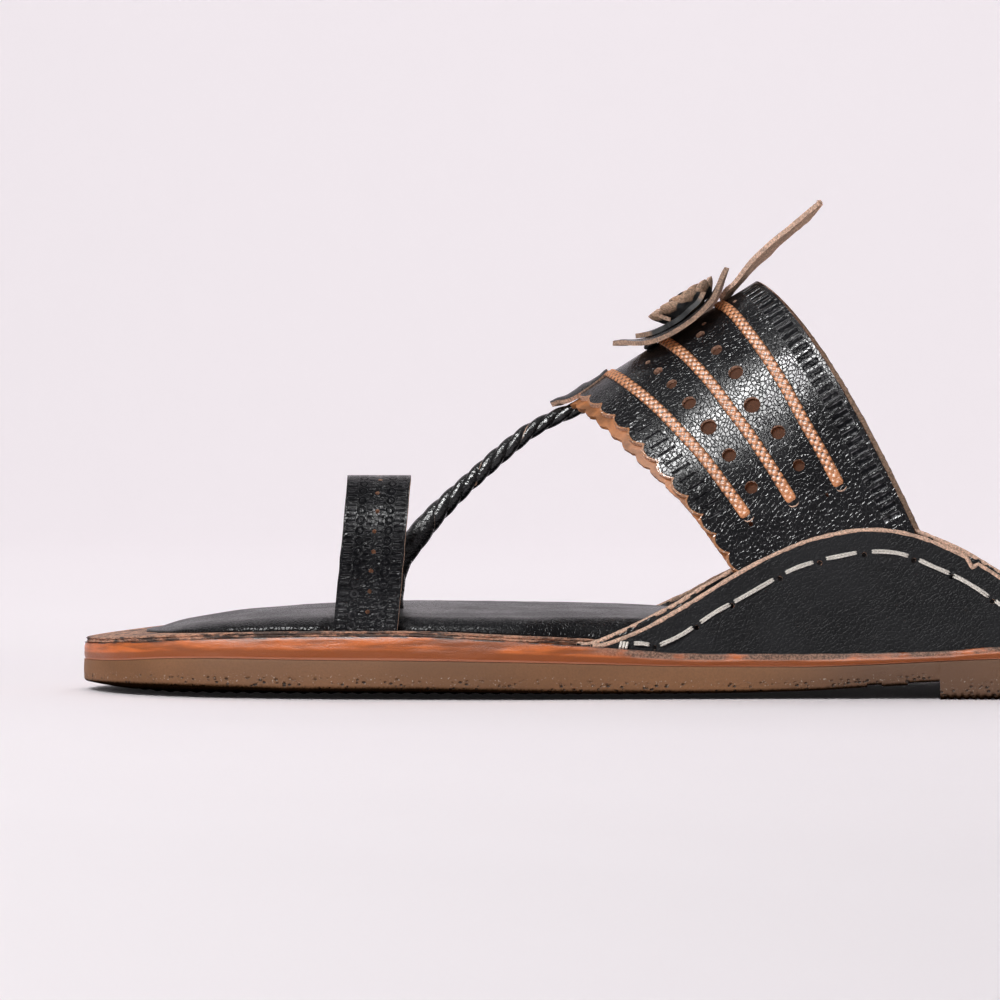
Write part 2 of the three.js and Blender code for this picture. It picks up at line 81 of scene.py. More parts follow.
# Heights along the sole, and how far the footbed stays in from the edge.
LEVELS = {
    "u": [0, 12, 24, 37, 55, 78, 101, 124, 147, 170, 186, 202, 216, 242, 270],
    "rim": [2.1, 2.4, 2.5, 2.4, 2.1, 2.2, 1.9, 1.5, 1.5, 1.9, 2.8, 3.6, 3.9, 4, 4],
    "middle": [2.1, 0.8, 0, 0, 0, 0, 0, 0, 0.2, 1.2, 2.4, 3.4, 3.7, 4, 4],
    "rubber": [7.2, 8, 8.9, 9.2, 9.1, 9, 8.7, 8.1, 7.5, 7.4, 7.9, 8.7, 9.3, 10, 10.6],
    "midsole": [11, 12, 12.9, 13.6, 14.2, 14.4, 13.5, 11.9, 10.4, 10.3, 10.5, 11, 12, 12.9, 13.6],
    "board": [12.3, 13.4, 14.4, 15.1, 15.6, 15.8, 15, 13.5, 12, 11.8, 12, 12.5, 13.5, 14.4, 15],
    "pad": [11, 13, 16.4, 18.2, 19.2, 19.7, 19.5, 19.2, 18.2, 17.4, 17.3, 17.6, 18.2, 19, 19],
    "pad_inset": [15, 11, 6, 3, 2.5, 2.5, 2.5, 2.5, 2.5, 2.5, 2.5, 2.5, 2.5, 3, 5],
}
BREAST = 202.0                # heel breast, from the toe tip
PAD_ROUND = 6.5               # width of the footbed's rounded edge
GROOVES = [(185.2, 188.6), (194.6, BREAST)]
TREAD_STEP = 0.45
STEP_RUN = 0.08
FLAT_SHARE = 0.5

WING = {"peak": 51.0, "power": 1.4, "lean": 0.085}
# Each wing: from its highest point to its front and rear ends, and its height over the midsole.
WING_SPAN = {"medial": (64.0, 55.0, 28.4), "lateral": (65.0, 48.0, 26.0)}
LINING_MORE = (3.5, 1.5, 0.9)  # how much more of each the wing's lining has
WING_FACE = 1.3               # outer face of the wing, in from the sole's edge
BAND_MIDDLE = 3.6             # middle of the band's wall, in from the sole's edge
WING_LINING_FACE = 5.95       # inner face of the wing's lining where it passes behind the band

NOSE = (-18.7, 68.5)          # band's ridge in the middle of its wall, front end
CREST = (24.4, 95.6)          # the same, rear end
DROP = (41.5, 59.3)           # from the ridge to the wing, at the front edge and the rear edge
SWEEP = (39.4, 37.9)          # how far those edges run back as they drop
SWEEP_POWER = 0.72
ARCH_POWER = 0.88
HALF_ARCH = (73.2, 83.3)      # length of the two edges, from the ridge to the wing
HALF_ARCH_MIDDLE = 78.0       # the same, half way along the ridge
RIDGE = math.dist(NOSE, CREST)
BAND_FOOT = 38.0              # width of the band at the wings
BAND_WAIST = 44.0             # and where its ribbons end
BAND_REACH = 1.1              # the band goes on this far into the wings, as v
WALL = 2.4                    # both layers of the band

LOOP = {"x": -64.8, "y": -30.0, "half": 16.0, "top": 50.1, "width": 14.7, "lean": 0.095, "skew": 3.2,
        "power": 0.72, "wall": 2.2}

CORD_ROUTE = [
    (-61.6, -9.3, 14.5), (-61.8, -9.3, 23), (-60.3, -8.9, 30), (-57.1, -8.5, 34.9), (-52.7, -7.4, 40.4),
    (-47, -6.2, 46.2), (-41.0, -4.8, 51.7), (-35.2, -3.4, 56.8), (-29.6, -2, 61.2), (-25.6, -0.9, 63.4),
    (-21.6, -0.3, 65.2), (-17.5, 0, 66.8),
]
CORD_PRESS = (-61.0, -9.3)    # where the cord's foot presses the footbed, x and y
CORD_PITCH = 14.1             # a strand's full turn round the cord
CORD_STRANDS = 3

TAB = {"x": [-25.3, -21.8, -18.2, -15, -11.8], "z": [68.2, 69.4, 71.5, 73.5, 75.6],
       "half": [1.4, 3.4, 4.6, 3.8, 1.4]}
TAIL = {"x": [14.8, 18, 21.9, 27, 31.4, 35.2, 38.7], "z": [92.3, 95.2, 99.8, 104.7, 108.4, 111.7, 115.3],
        "half": [2.4, 3.8, 4.6, 4.8, 4.4, 3.4, 1.4]}
FLOWER_X = 6.9
FLOWER_EDGE = (0.52, 0.32, 0.21)  # cut edge of the flower's layers, darker and browner than the other raw edges

# Fineness of the meshes: size of a sheet's cells, and points along other pieces.
CELL = {"band_lining": 0.8, "wing": 0.55, "wing_lining": 0.8, "loop": 0.33, "loop_lining": 0.7}
POINTS = {"midsole": 420, "board": 620, "footbed": 460, "ribbon": 640, "cord": 460, "strand": 24,
          "wing_edge": 420, "stitch": 22, "thread": 8, "disc": 241, "rosette": 560, "strip": 170}

# Ribbons over the band: place along the ridge at the ridge and at the ends.
RIBBONS = [(0.19, 0.235), (0.482, 0.482), (0.794, 0.744)]
RIBBON_END = 0.80
# Punched holes on each side: place along the ridge, share of the half arch, diameter.
HOLES = [
    (0.34, 0.13, 1.4), (0.34, 0.20, 2.3), (0.34, 0.28, 2.6), (0.34, 0.374, 3.4), (0.34, 0.479, 3.9),
    (0.34, 0.59, 3.3), (0.34, 0.712, 3.0), (0.231, 0.822, 1.1),
    (0.61, 0.153, 2.3), (0.61, 0.252, 2.8), (0.61, 0.358, 3.6), (0.578, 0.477, 4.0),
    (0.61, 0.587, 3.4), (0.61, 0.701, 2.8), (0.663, 0.811, 0.9), (0.663, 0.109, 1.3), (0.844, 0.088, 1.2),
]
# Stitches along each wing, as stretches of x.
STITCHES = [
    (-3.2, 0.4), (2.7, 10.3), (11.9, 18.8), (19.5, 29), (31.3, 38), (40.6, 48), (51.1, 59.8),
    (62, 69.2), (70, 78.2), (79.6, 86.2), (87.6, 93.4), (94.8, 99.4),
]
STITCH_DROP = 5.0             # stitch line below the wing's edge
NOTCH = (74.3, 1.4, 1.7)      # small nick in the inner wing's edge: x, half width, depth


# ---------------------------------------------------------------- settings
class SandalSizes(bpy.types.PropertyGroup):
    """Sizes that a maker would change, in millimetres."""

    leather: bpy.props.FloatProperty(
        name="Leather", description="Thickness of one layer of upper leather, in mm",
        default=1.1, min=0.6, max=2.0)
    ribbon: bpy.props.FloatProperty(
        name="Ribbon", description="Width of a braided ribbon, in mm", default=2.7, min=1.5, max=5)
    scallop: bpy.props.FloatProperty(
        name="Scallop", description="Pitch of the band's scalloped front edge, in mm",
        default=5.7, min=3, max=10)
    thread: bpy.props.FloatProperty(
        name="Thread", description="Radius of one strand of stitching thread, in mm",
        default=0.25, min=0.15, max=0.8)
    detail: bpy.props.FloatProperty(
        name="Detail", description="Size of a cell of the band's surface, in mm",
        default=0.5, min=0.3, max=2)


def colour(name, about, value):
    """A colour setting, with its default given as red, green and blue in linear light."""
    return bpy.props.FloatVectorProperty(
        name=name, description=about, subtype="COLOR", size=3, min=0, max=1, default=value)


class SandalColours(bpy.types.PropertyGroup):
    """Colours of the finishes."""

    black: colour("Black", "Black dyed leather", (0.0075, 0.0077, 0.0092))
    tan: colour("Tan", "Vegetable tanned lining and scallops", (0.47, 0.185, 0.065))
    raw: colour("Raw edge", "Cut edge of the leather", (0.84, 0.53, 0.37))
    suede: colour("Suede", "Flesh side of the leather", (0.64, 0.41, 0.27))
    ribbon: colour("Ribbon", "Braided ribbons", (0.75, 0.31, 0.13))
    midsole: colour("Midsole", "Waxed edge of the midsole", (0.52, 0.130, 0.027))
    board: colour("Board", "Raw insole board", (0.50, 0.25, 0.15))
    rubber: colour("Rubber", "Moulded rubber sole", (0.226, 0.100, 0.038))
    thread: colour("Thread", "Waxed thread", (0.95, 0.90, 0.81))
    floor: colour("Floor", "Floor and backdrop", (0.86, 0.812, 0.842))


def sizes():
    """The sizes as set in the panel."""
    return bpy.context.scene.sandal_sizes


def colours():
    """The colours as set in the panel."""
    return bpy.context.scene.sandal_colours


# ---------------------------------------------------------------- curves and tables
def between(start, end, share):
    """Start at share 0, end at share 1, in a straight line."""
    return start + (end - start) * share


def smooth(t):
    """0 below 0, 1 above 1, and 3t^2 - 2t^3 in between."""
    t = np.clip(t, 0, 1)
    return t * t * (3 - 2 * t)


def window(x, start, end, soft):
    """1 from start to end, falling smoothly to 0 within soft outside them."""
    return smooth((x - start) / soft + 1) * smooth((end - x) / soft + 1)


def monotone(xs, ys):
    """Curve through points that never overshoots: cubic pieces whose slope at a point is the
    harmonic mean of the slopes on its two sides, and 0 where the points turn."""
    x, y = np.asarray(xs, float), np.asarray(ys, float)
    slope = np.diff(y) / np.diff(x)
    before, after = slope[:-1], slope[1:]
    same = before * after > 0
    inner = np.where(same, 2 * before * after / np.where(same, before + after, 1), 0)
    tangent = np.concatenate([slope[:1], inner, slope[-1:]])

    def at(q):
        q = np.clip(q, x[0], x[-1])
        i = np.clip(np.searchsorted(x, q), 1, len(x) - 1)
        width = x[i] - x[i - 1]
        t = (q - x[i - 1]) / width
        rise = y[i] - y[i - 1]
        early = width * tangent[i - 1] - rise
        late = rise - width * tangent[i]
        return y[i - 1] + rise * t + t * (1 - t) * (early * (1 - t) + late * t)

    return at


def turn_at(u):
    """Angle that is 0 at the toe tip and pi at the heel end, which rounds both ends."""
    return np.arccos(1 - 2 * np.clip(u, 0, LENGTH) / LENGTH)


EDGE = {side: monotone(turn_at(np.array(OUTLINE["u"])), OUTLINE[side]) for side in OUTWARD}
LEVEL = {name: monotone(LEVELS["u"], LEVELS[name]) for name in LEVELS if name != "u"}


def midsole_top(x):
    """Height of the midsole's upper face."""
    return LEVEL["midsole"](x + HALF)


def wander(x, y, cell, seed):
    """Soft irregularity from -1 to 1: random heights on a square lattice with the given cell,
    joined by smoothstep in both directions."""
    lattice = np.random.default_rng(seed).uniform(-1, 1, (LATTICE, LATTICE))
    p, q = np.asarray(x) / cell + 500, np.asarray(y) / cell + 500
    i, j = np.floor(p).astype(int), np.floor(q).astype(int)
    s, t = smooth(p - i), smooth(q - j)
    corners = [[lattice[(i + a) % LATTICE, (j + b) % LATTICE] for b in (0, 1)] for a in (0, 1)]
    near, far = [between(*pair, t) for pair in corners]
    return between(near, far, s)


def unit(v):
    """Vectors brought to length 1."""
    return v / np.maximum(np.linalg.norm(v, axis=-1, keepdims=True), 1e-9)


def heading(path):
    """Unit tangent at each point of a path."""
    return unit(np.gradient(path, axis=0))


def run_along(points):
    """Distance along a chain of points, from its first."""
    return np.concatenate([[0], np.cumsum(np.linalg.norm(np.diff(points, axis=0), axis=1))])


def even_path(points, count):
    """Points evenly spaced along a smooth curve through a few points: Hermite cubics over the
    chord length, with each tangent taken from the two neighbours."""
    p = np.asarray(points, float)
    chord = run_along(p)
    tangent = np.gradient(p, chord, axis=0)
    q = np.linspace(0, chord[-1], 40 * len(p))
    i = np.clip(np.searchsorted(chord, q), 1, len(p) - 1)
    width = (chord[i] - chord[i - 1])[:, None]
    t = (q[:, None] - chord[i - 1][:, None]) / width
    fine = (p[i - 1] * (1 + 2 * t) * (1 - t) ** 2 + p[i] * t * t * (3 - 2 * t)
            + width * (tangent[i - 1] * t * (1 - t) ** 2 - tangent[i] * t * t * (1 - t)))
    far = run_along(fine)
    at = np.linspace(0, far[-1], count)
    return np.stack([np.interp(at, far, fine[:, k]) for k in range(3)], -1), at


# ---------------------------------------------------------------- meshes
def grid_quads(rows, cols, wrap=False):
    """Four-cornered faces between the neighbours of a grid of points, numbered row by row."""
    i, j = np.meshgrid(np.arange(rows - 1), np.arange(cols if wrap else cols - 1), indexing="ij")
    k = (j + 1) % cols
    return np.stack([i * cols + j, i * cols + k, (i + 1) * cols + k, (i + 1) * cols + j], -1).reshape(-1, 4)


def mesh_object(name, points, quads, values=None):
    """A mesh object from points in millimetres and faces, with a number per point for each value."""
    used, index = np.unique(quads, return_inverse=True)
    quads = index.reshape(-1, 4)
    points = np.asarray(points, float).reshape(-1, 3)[used] * MM
    mesh = bpy.data.meshes.new(name)
    mesh.vertices.add(len(points))
    mesh.vertices.foreach_set("co", points.astype(np.float32).ravel())
    mesh.loops.add(quads.size)
    mesh.loops.foreach_set("vertex_index", quads.astype(np.int32).ravel())
    mesh.polygons.add(len(quads))
    mesh.polygons.foreach_set("loop_start", np.arange(0, quads.size, 4, dtype=np.int32))
    mesh.polygons.foreach_set("use_smooth", np.ones(len(quads), bool))
    mesh.update(calc_edges=True)
    for key, value in (values or {}).items():
        flat = np.asarray(value, np.float32).reshape(-1)[used]
        mesh.attributes.new(key, "FLOAT", "POINT").data.foreach_set("value", flat)
    piece = bpy.data.objects.new(name, mesh)
    bpy.context.scene.collection.objects.link(piece)
    return piece


def close_up(piece, sharp_angle=None):
    """Merges doubles, which closes seams and poles, and turns the faces outwards."""
    mesh = bmesh.new()
    mesh.from_mesh(piece.data)
    bmesh.ops.remove_doubles(mesh, verts=mesh.verts, dist=MERGE)
    bmesh.ops.recalc_face_normals(mesh, faces=mesh.faces)
    if sharp_angle:
        for edge in mesh.edges:
            if len(edge.link_faces) == 2 and edge.calc_face_angle(0) > sharp_angle:
                edge.smooth = False
    mesh.to_mesh(piece.data)
    mesh.free()
    return piece


def place(piece, materials, node):
    """Gives a finished piece its materials, its body, the node it stands for and its slot."""
    for material in materials:
        piece.data.materials.append(material)
    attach(piece, "root")
    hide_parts(node)


def punch(points, quads, holes):
    """Opens round holes in a grid: faces with their middle inside a hole go, and the points left on
    its rim move straight out from its centre to its radius."""
    points = points.reshape(-1, 3).copy()
    for centre, radius in holes:
        middle = points[quads].mean(axis=1)
        inside = np.linalg.norm(middle - centre, axis=1) < radius
        rim = np.intersect1d(quads[inside], quads[~inside])
        away = points[rim] - centre
        points[rim] = centre + away * radius / np.linalg.norm(away, axis=1, keepdims=True)
        quads = quads[~inside]
    return points, quads


def thickened(piece, mesh, thickness):
    """Writes a one-sided sheet back to its piece, sharp at its rim, and thickens it inwards."""
    for edge in mesh.edges:
        edge.smooth = not edge.is_boundary
    mesh.to_mesh(piece.data)
    mesh.free()
    solid = piece.modifiers.new("thickness", "SOLIDIFY")
    solid.thickness = thickness * MM
    solid.offset = -1
    solid.material_offset = 1
    solid.material_offset_rim = 2


def leather_sheet(name, grid, thickness, materials, node, holes=(), values=None):
    """A sheet of leather: a grid on its outer face, thickened inwards by Solidify, with its own
    materials for the face, the back and the cut edge. Rows by columns must turn the face outwards."""
    rows, cols = grid.shape[:2]
    points, quads = punch(grid, grid_quads(rows, cols), holes)
    piece = mesh_object(name, points, quads, values)
    mesh = bmesh.new()
    mesh.from_mesh(piece.data)
    thickened(piece, mesh, thickness)
    place(piece, materials, node)


def tube(path, radial, radius, sides):
    """Grid round a path: each ring is the path's point plus radius times cos and sin of an angle
    along the radial direction and the one square to it and to the path."""
    tangent = heading(path)
    radial = unit(radial - tangent * np.sum(radial * tangent, -1, keepdims=True))
    other = np.cross(tangent, radial)
    angle = np.linspace(0, 2 * np.pi, sides, endpoint=False)
    radius = np.broadcast_to(radius, (len(path),))[:, None, None]
    return (path[:, None] + radius * (np.cos(angle)[None, :, None] * radial[:, None]
                                      + np.sin(angle)[None, :, None] * other[:, None]))


def closed_tubes(name, parts, material, node):
    """One piece from several tubes with their values, each closed at its ends by rings drawn in to
    the middle."""
    points, quads, values, start = [], [], {}, 0
    for grid, value in parts:
        first, last = grid[:1].mean(axis=1, keepdims=True), grid[-1:].mean(axis=1, keepdims=True)
        cols = grid.shape[1]
        whole = np.concatenate([np.repeat(first, cols, 1), grid, np.repeat(last, cols, 1)])
        points.append(whole.reshape(-1, 3))
        quads.append(grid_quads(len(whole), cols, wrap=True) + start)
        start += whole.shape[0] * cols
        for key, field in value.items():
            field = np.broadcast_to(field, grid.shape[:2])
            values.setdefault(key, []).append(
                np.concatenate([field[:1], field, field[-1:]]).reshape(-1))
    values = {key: np.concatenate(found) for key, found in values.items()}
    piece = close_up(mesh_object(name, np.concatenate(points), np.concatenate(quads), values))
    place(piece, [material], node)


# ---------------------------------------------------------------- materials
class Signal:
    """Output of a node. Its sums, products and other calls add nodes to the same finish."""

    def __init__(self, finish, socket):
        self.finish = finish
        self.socket = socket

    def __add__(self, other):
        return self.finish.math("ADD", self, other)

    def __mul__(self, other):
        return self.finish.math("MULTIPLY", self, other)

    def ramp(self, low, high, start=0.0, end=1.0):
        """From low to high it becomes start to end, smoothly."""
        inputs = {"Value": self, "From Min": low, "From Max": high, "To Min": start, "To Max": end}
        return self.finish.node("ShaderNodeMapRange", "Result", inputs, interpolation_type="SMOOTHSTEP")

    def inside(self, low, high, soft):
        """1 where it lies between low and high."""
        return self.ramp(low - soft, low) * self.ramp(high, high + soft, 1, 0)

    def lines(self, pitch, width):
        """1 on thin lines, a pitch apart."""
        return self.finish.math("PINGPONG", self, pitch / 2).ramp(width * 0.25, width * 0.75, 1, 0)

    def mix(self, a, b):
        """Colour a where it is 0, b where it is 1."""
        return self.finish.node("ShaderNodeMix", 2, {0: self, 6: a, 7: b}, data_type="RGBA")

    def mottle(self, base, dark, light, low, high):
        """A dark shade of a base colour where it is low, a light shade where it is high."""
        return self.ramp(low, high).mix(shade(base, dark), shade(base, light))

    def bump(self, depth, below=None):
        """Relief of a depth in millimetres, on top of the relief below."""
        inputs = {"Height": self, "Distance": depth * MM, "Strength": 1.0}
        if below is not None:
            inputs["Normal"] = below
        return self.finish.node("ShaderNodeBump", "Normal", inputs)


class Finish:
    """A material, with short calls that add a node and return its output as a signal."""

    def __init__(self, name, roughness):
        self.material = bpy.data.materials.new(name)
        self.material.use_nodes = True
        self.tree = self.material.node_tree
        self.shader = self.tree.nodes["Principled BSDF"]
        self.shader.inputs["Roughness"].default_value = roughness

    def node(self, kind, output, inputs=(), **settings):
        """Adds a node with its inputs and settings, and returns one of its outputs."""
        made = self.tree.nodes.new(kind)
        for key, value in settings.items():
            setattr(made, key, value)
        for key, value in dict(inputs).items():
            self.give(made.inputs[key], value)
        return Signal(self, made.outputs[output])

    def give(self, socket, value):
        """Links a signal to a socket, or writes a plain value into it."""
        if isinstance(value, Signal):
            self.tree.links.new(value.socket, socket)
        elif socket.type == "RGBA" and len(value) == 3:
            socket.default_value = (*value, 1)
        else:
            socket.default_value = value

    def made(self, **sockets):
        """Feeds the shader's inputs, named with _ for a space, and returns the material."""
        for key, value in sockets.items():
            self.give(self.shader.inputs[key.replace("_", " ")], value)
        return self.material

    def place(self, stretch=(1, 1, 1), turn=(0, 0, 0)):
        """Object coordinates in millimetres, stretched and turned."""
        here = self.node("ShaderNodeTexCoord", "Object")
        scale = tuple(1 / (MM * part) for part in stretch)
        return self.node("ShaderNodeMapping", "Vector", {"Vector": here, "Scale": scale, "Rotation": turn})

    def height(self):
        """Z of the object, in millimetres."""
        return self.node("ShaderNodeSeparateXYZ", "Z", {"Vector": self.place()})

    def noise(self, size, detail=2.0, vector=None, rough=0.5):
        """Soft noise with patches of a size in millimetres."""
        inputs = {"Vector": vector or self.place(), "Scale": 1 / size, "Detail": detail, "Roughness": rough}
        return self.node("ShaderNodeTexNoise", "Fac", inputs)

    def cells(self, size, vector=None, feature="F1"):
        """Distance to the nearest of scattered points, about a size apart in millimetres."""
        inputs = {"Vector": vector or self.place(), "Scale": 1 / size}
        return self.node("ShaderNodeTexVoronoi", "Distance", inputs, feature=feature)

    def attribute(self, name):
        return self.node("ShaderNodeAttribute", "Fac", attribute_name=name)

    def math(self, operation, a, b=0.0):
        return self.node("ShaderNodeMath", "Value", {0: a, 1: b}, operation=operation)


def shade(value, share):
    """A colour made darker or lighter by a factor."""
    return tuple(part * share for part in value)


def black_leather(name, roughness, grain=0.9, depth=0.07, stretch=(1, 1, 1), stamps=None, rim=None,
                  wear=0.0, gloss=0.3):
    """Black dyed leather: grain of flat plates between narrow creases, fine pores, faint scuffs,
    stamped marks pressed in where a function of the finish draws them, and a rim's own tone."""
    finish = Finish(name, roughness)
    vector = finish.place(stretch)
    bent = finish.node("ShaderNodeTexNoise", "Color", {"Vector": vector, "Scale": 0.7, "Detail": 1.0})
    bent = finish.node("ShaderNodeVectorMath", "Vector", {0: bent, "Scale": 0.8 * grain}, operation="SCALE")
    vector = finish.node("ShaderNodeVectorMath", "Vector", {0: vector, 1: bent}, operation="ADD")
    crease = finish.cells(grain, vector, "DISTANCE_TO_EDGE").ramp(0.0, 0.15)
    plates = finish.noise(grain * 1.3, 2.0, vector)
    fine = finish.noise(0.35, 2.0)
    broad = finish.noise(14, 3.0)
    scuff = finish.noise(3.2, 5.0, rough=0.65).ramp(0.56, 0.78)
    normal = crease.bump(depth, finish.noise(5.5, 2.0).bump(0.035))
    normal = fine.bump(depth * 0.1, plates.bump(depth * 0.65, normal))
    tone = broad.mottle(colours().black, 0.8, 1.25, 0.35, 0.7)
    tone = (scuff * wear).mix(tone, (0.06, 0.05, 0.045))
    rough = broad.ramp(0.3, 0.7, roughness - 0.05, roughness + 0.06) + scuff * 0.10
    if stamps:
        mark = stamps(finish)
        # Painted highlight: the lips of the stamped marks are lightened to grey in patches, more so higher
        # up.
        lip = mark.ramp(0.05, 0.4) * mark.ramp(0.5, 0.95, 1, 0)
        lip_glint = lip * finish.noise(1.6, 3.0).ramp(0.42, 0.58, 0, 0.7) * finish.height().ramp(22, 38, 0.15, 1)
        tone = lip_glint.mix(tone, (0.30, 0.30, 0.31))
        normal = mark.bump(-0.32, normal)
        gloss = mark.ramp(0.3, 0.8, gloss, gloss * 0.1)
    if rim:
        tone = rim(finish, tone)
    return finish.made(Base_Color=tone, Roughness=rough, Normal=normal, Specular_IOR_Level=gloss)


def band_stamps(finish):
    """Combs of short strokes beside the front edge and of broad ones beside the rear edge."""
    along = finish.attribute("along")
    front = finish.attribute("from_front")
    rear = finish.attribute("from_rear")
    comb = along.lines(2.8, 0.55) * front.inside(2.6, 6.4, 0.4) * along.inside(28, 55, 4)
    broad = along.lines(2.3, 1.15) * rear.inside(1.5, 5.0, 0.3) * along.inside(6, 75, 3)
    return finish.math("MAXIMUM", comb, broad)


def band_rim(finish, tone):
    """Tone of the band, worn to the raw hide along its scalloped edge."""
    ragged = finish.attribute("from_edge") + finish.noise(0.9, 3.0) * 0.4
    return ragged.ramp(0.62, 0.80, 0.95, 0).mix(tone, (0.50, 0.23, 0.11))


def loop_stamps(finish):
    """Strokes across both edges of the toe loop, and a row of rings on each side of its middle."""
    along = finish.attribute("along")
    across = finish.math("ABSOLUTE", finish.attribute("across"))
    stroke = along.lines(1.25, 0.5) * across.inside(4.7, 6.6, 0.2)
    short = along.lines(1.7, 0.5) * across.inside(0.9, 1.9, 0.2)
    turn = finish.math("PINGPONG", along, 1.2)
    side = finish.math("SUBTRACT", across, 3.3)
    ring = finish.math("SQRT", turn * turn + side * side).inside(0.6, 0.95, 0.15)
    mark = finish.math("MAXIMUM", stroke, finish.math("MAXIMUM", short, ring))
    return mark * finish.height().ramp(18, 32, 0.35, 1)


def raw_leather(name, base, roughness=0.85, dark=0.45, size=0.6, depth=0.12):
    """Undyed leather, cut or flesh side out: fibres of uneven tone over a felted relief."""
    finish = Finish(name, roughness)
    fibre = finish.noise(size, 5.0, rough=0.7)
    patch = finish.noise(size * 9, 3.0)
    tone = fibre.mottle(base, dark, 1.15, 0.35, 0.68)
    tone = patch.ramp(0.52, 0.72, 0, 0.45).mix(tone, shade(base, dark))
    return finish.made(Base_Color=tone, Normal=fibre.bump(depth))


def lining_finish():
    """Tan lining: waxed, in warm patches and finely pored where it stands out beyond the outer layer,
    dark brown and dull under it."""
    finish = Finish("tan_lining", 0.55)
    patch = finish.noise(3.5, 4.0)
    pores = finish.cells(0.5, None, "SMOOTH_F1")
    covered_shade = finish.attribute("from_front").ramp(1.5, 2.0)
    tone = patch.mottle(colours().tan, 0.55, 1.2, 0.35, 0.7)
    # Painted shade: under the outer layer, seen only through its holes, the lining turns dark brown.
    tone = covered_shade.mix(tone, (0.11, 0.041, 0.018))
    return finish.made(Base_Color=tone, Roughness=covered_shade * 0.4 + 0.55, Specular_IOR_Level=0.2,
                       Normal=pores.bump(-0.08, patch.bump(0.2)))


def ribbon_finish():
    """Braided orange ribbon: bright backs of the strands, dark gaps between them."""
    finish = Finish("braided_ribbon", 0.38)
    base = colours().ribbon
    # Painted shade: where the braid is low, between the strands, it turns almost black.
    tone = finish.attribute("raised").ramp(0.03, 0.45).mix(shade(base, 0.10), base)
    tone = finish.noise(4, 3.0).ramp(0.45, 0.7, 0, 0.5).mix(tone, shade(base, 0.55))
    return finish.made(Base_Color=tone, Normal=finish.noise(0.3, 3.0).bump(0.08))


def thread_finish():
    """Waxed thread: off-white, with the dark lay of its plies running slantwise."""
    finish = Finish("waxed_thread", 0.55)
    base = colours().thread
    lay = finish.attribute("along").lines(0.9, 0.5)
    # Painted shade: the grooves between the plies are darkened.
    tone = (lay * 0.35).mix(base, shade(base, 0.45))
    tone = finish.noise(1.5, 4.0).ramp(0.55, 0.8, 0, 0.5).mix(tone, shade(base, 0.5))
    return finish.made(Base_Color=tone, Normal=lay.bump(-0.12))


def rubber_finish():
    """Moulded brown rubber: dull face, dark lower rim, pits in its lower third, pale dust along them."""
    finish = Finish("moulded_rubber", 0.62)
    rise = finish.attribute("rise")
    base = colours().rubber
    broad = finish.noise(22, 3.0, finish.place((3, 1, 1)))
    fine = finish.noise(0.5, 4.0)
    pits = finish.cells(1.05, finish.place((1.2, 1.2, 0.8))).ramp(0.20, 0.42, 1, 0)
    pits = pits * rise.ramp(0.25, 0.5, 1, 0) * finish.noise(2.4, 2.0).ramp(0.44, 0.56)
    dust = finish.noise(0.55, 3.0).ramp(0.62, 0.7) * rise.inside(0.28, 0.45, 0.15)
    # Painted shadow: the lower rim turns nearly black and loses its shine.
    rim = (rise + fine * 0.12).ramp(0.10, 0.24, 1, 0)
    tone = broad.mottle(base, 0.82, 1.18, 0.3, 0.7)
    tone = finish.attribute("far").ramp(0, 1, 0, 0.55).mix(tone, (0.080, 0.047, 0.034))
    tone = fine.ramp(0.4, 0.65, 0, 0.25).mix(tone, shade(base, 0.6))
    # Painted shade: the pits turn nearly black.
    tone = pits.mix(tone, shade(base, 0.12))
    tone = rim.mix(tone, shade(base, 0.04))
    tone = (dust * 0.6).mix(tone, (0.5, 0.42, 0.33))
    return finish.made(Base_Color=tone, Normal=pits.bump(-0.5, fine.bump(0.08)),
                       Specular_IOR_Level=rim.ramp(0, 1, 0.25, 0))


def midsole_finish():
    """Edge of a stacked leather midsole: waxed orange, darker and burnt in streaks, with a scraped
    upper half towards the heel and a few black blemishes."""
    finish = Finish("waxed_midsole", 0.36)
    rise = finish.attribute("rise")
    base = colours().midsole
    streak = finish.noise(2.2, 4.0, finish.place((6, 6, 0.7)))
    cloud = finish.noise(7, 3.0, finish.place((2, 2, 1)))
    fine = finish.noise(0.45, 5.0, rough=0.7)
    patchy = finish.noise(4.5, 3.0, finish.place((2, 2, 1))).ramp(0.36, 0.5)
    scraped = finish.attribute("back") * rise.ramp(0.45, 0.62) * patchy
    rough_tone = fine.ramp(0.4, 0.6).mix((0.10, 0.05, 0.03), (0.36, 0.19, 0.12))
    flecks = rise.ramp(0.90, 0.99) * finish.noise(1.2, 4.0, finish.place((4, 4, 1))).ramp(0.42, 0.58)
    blot = finish.cells(26, finish.place((1, 1, 3))).ramp(0.05, 0.09, 1, 0)
    tone = streak.mottle(base, 0.62, 1.32, 0.38, 0.66)
    tone = cloud.ramp(0.5, 0.68, 0, 0.6).mix(tone, shade(base, 0.45))
    tone = scraped.mix(tone, rough_tone)
    tone = rise.inside(0.14, 0.36, 0.16).mix(tone, shade(base, 0.6))
    tone = flecks.mix(tone, (0.055, 0.026, 0.016))
    tone = rise.ramp(0.13, 0.06).mix(tone, (0.52, 0.20, 0.11))
    tone = blot.mix(tone, (0.02, 0.012, 0.01))
    rough = scraped * 0.4 + cloud.ramp(0.3, 0.7, 0.28, 0.44)
    return finish.made(Base_Color=tone, Roughness=rough, Normal=fine.bump(0.12, streak.bump(0.25)),
                       Specular_IOR_Level=0.3)


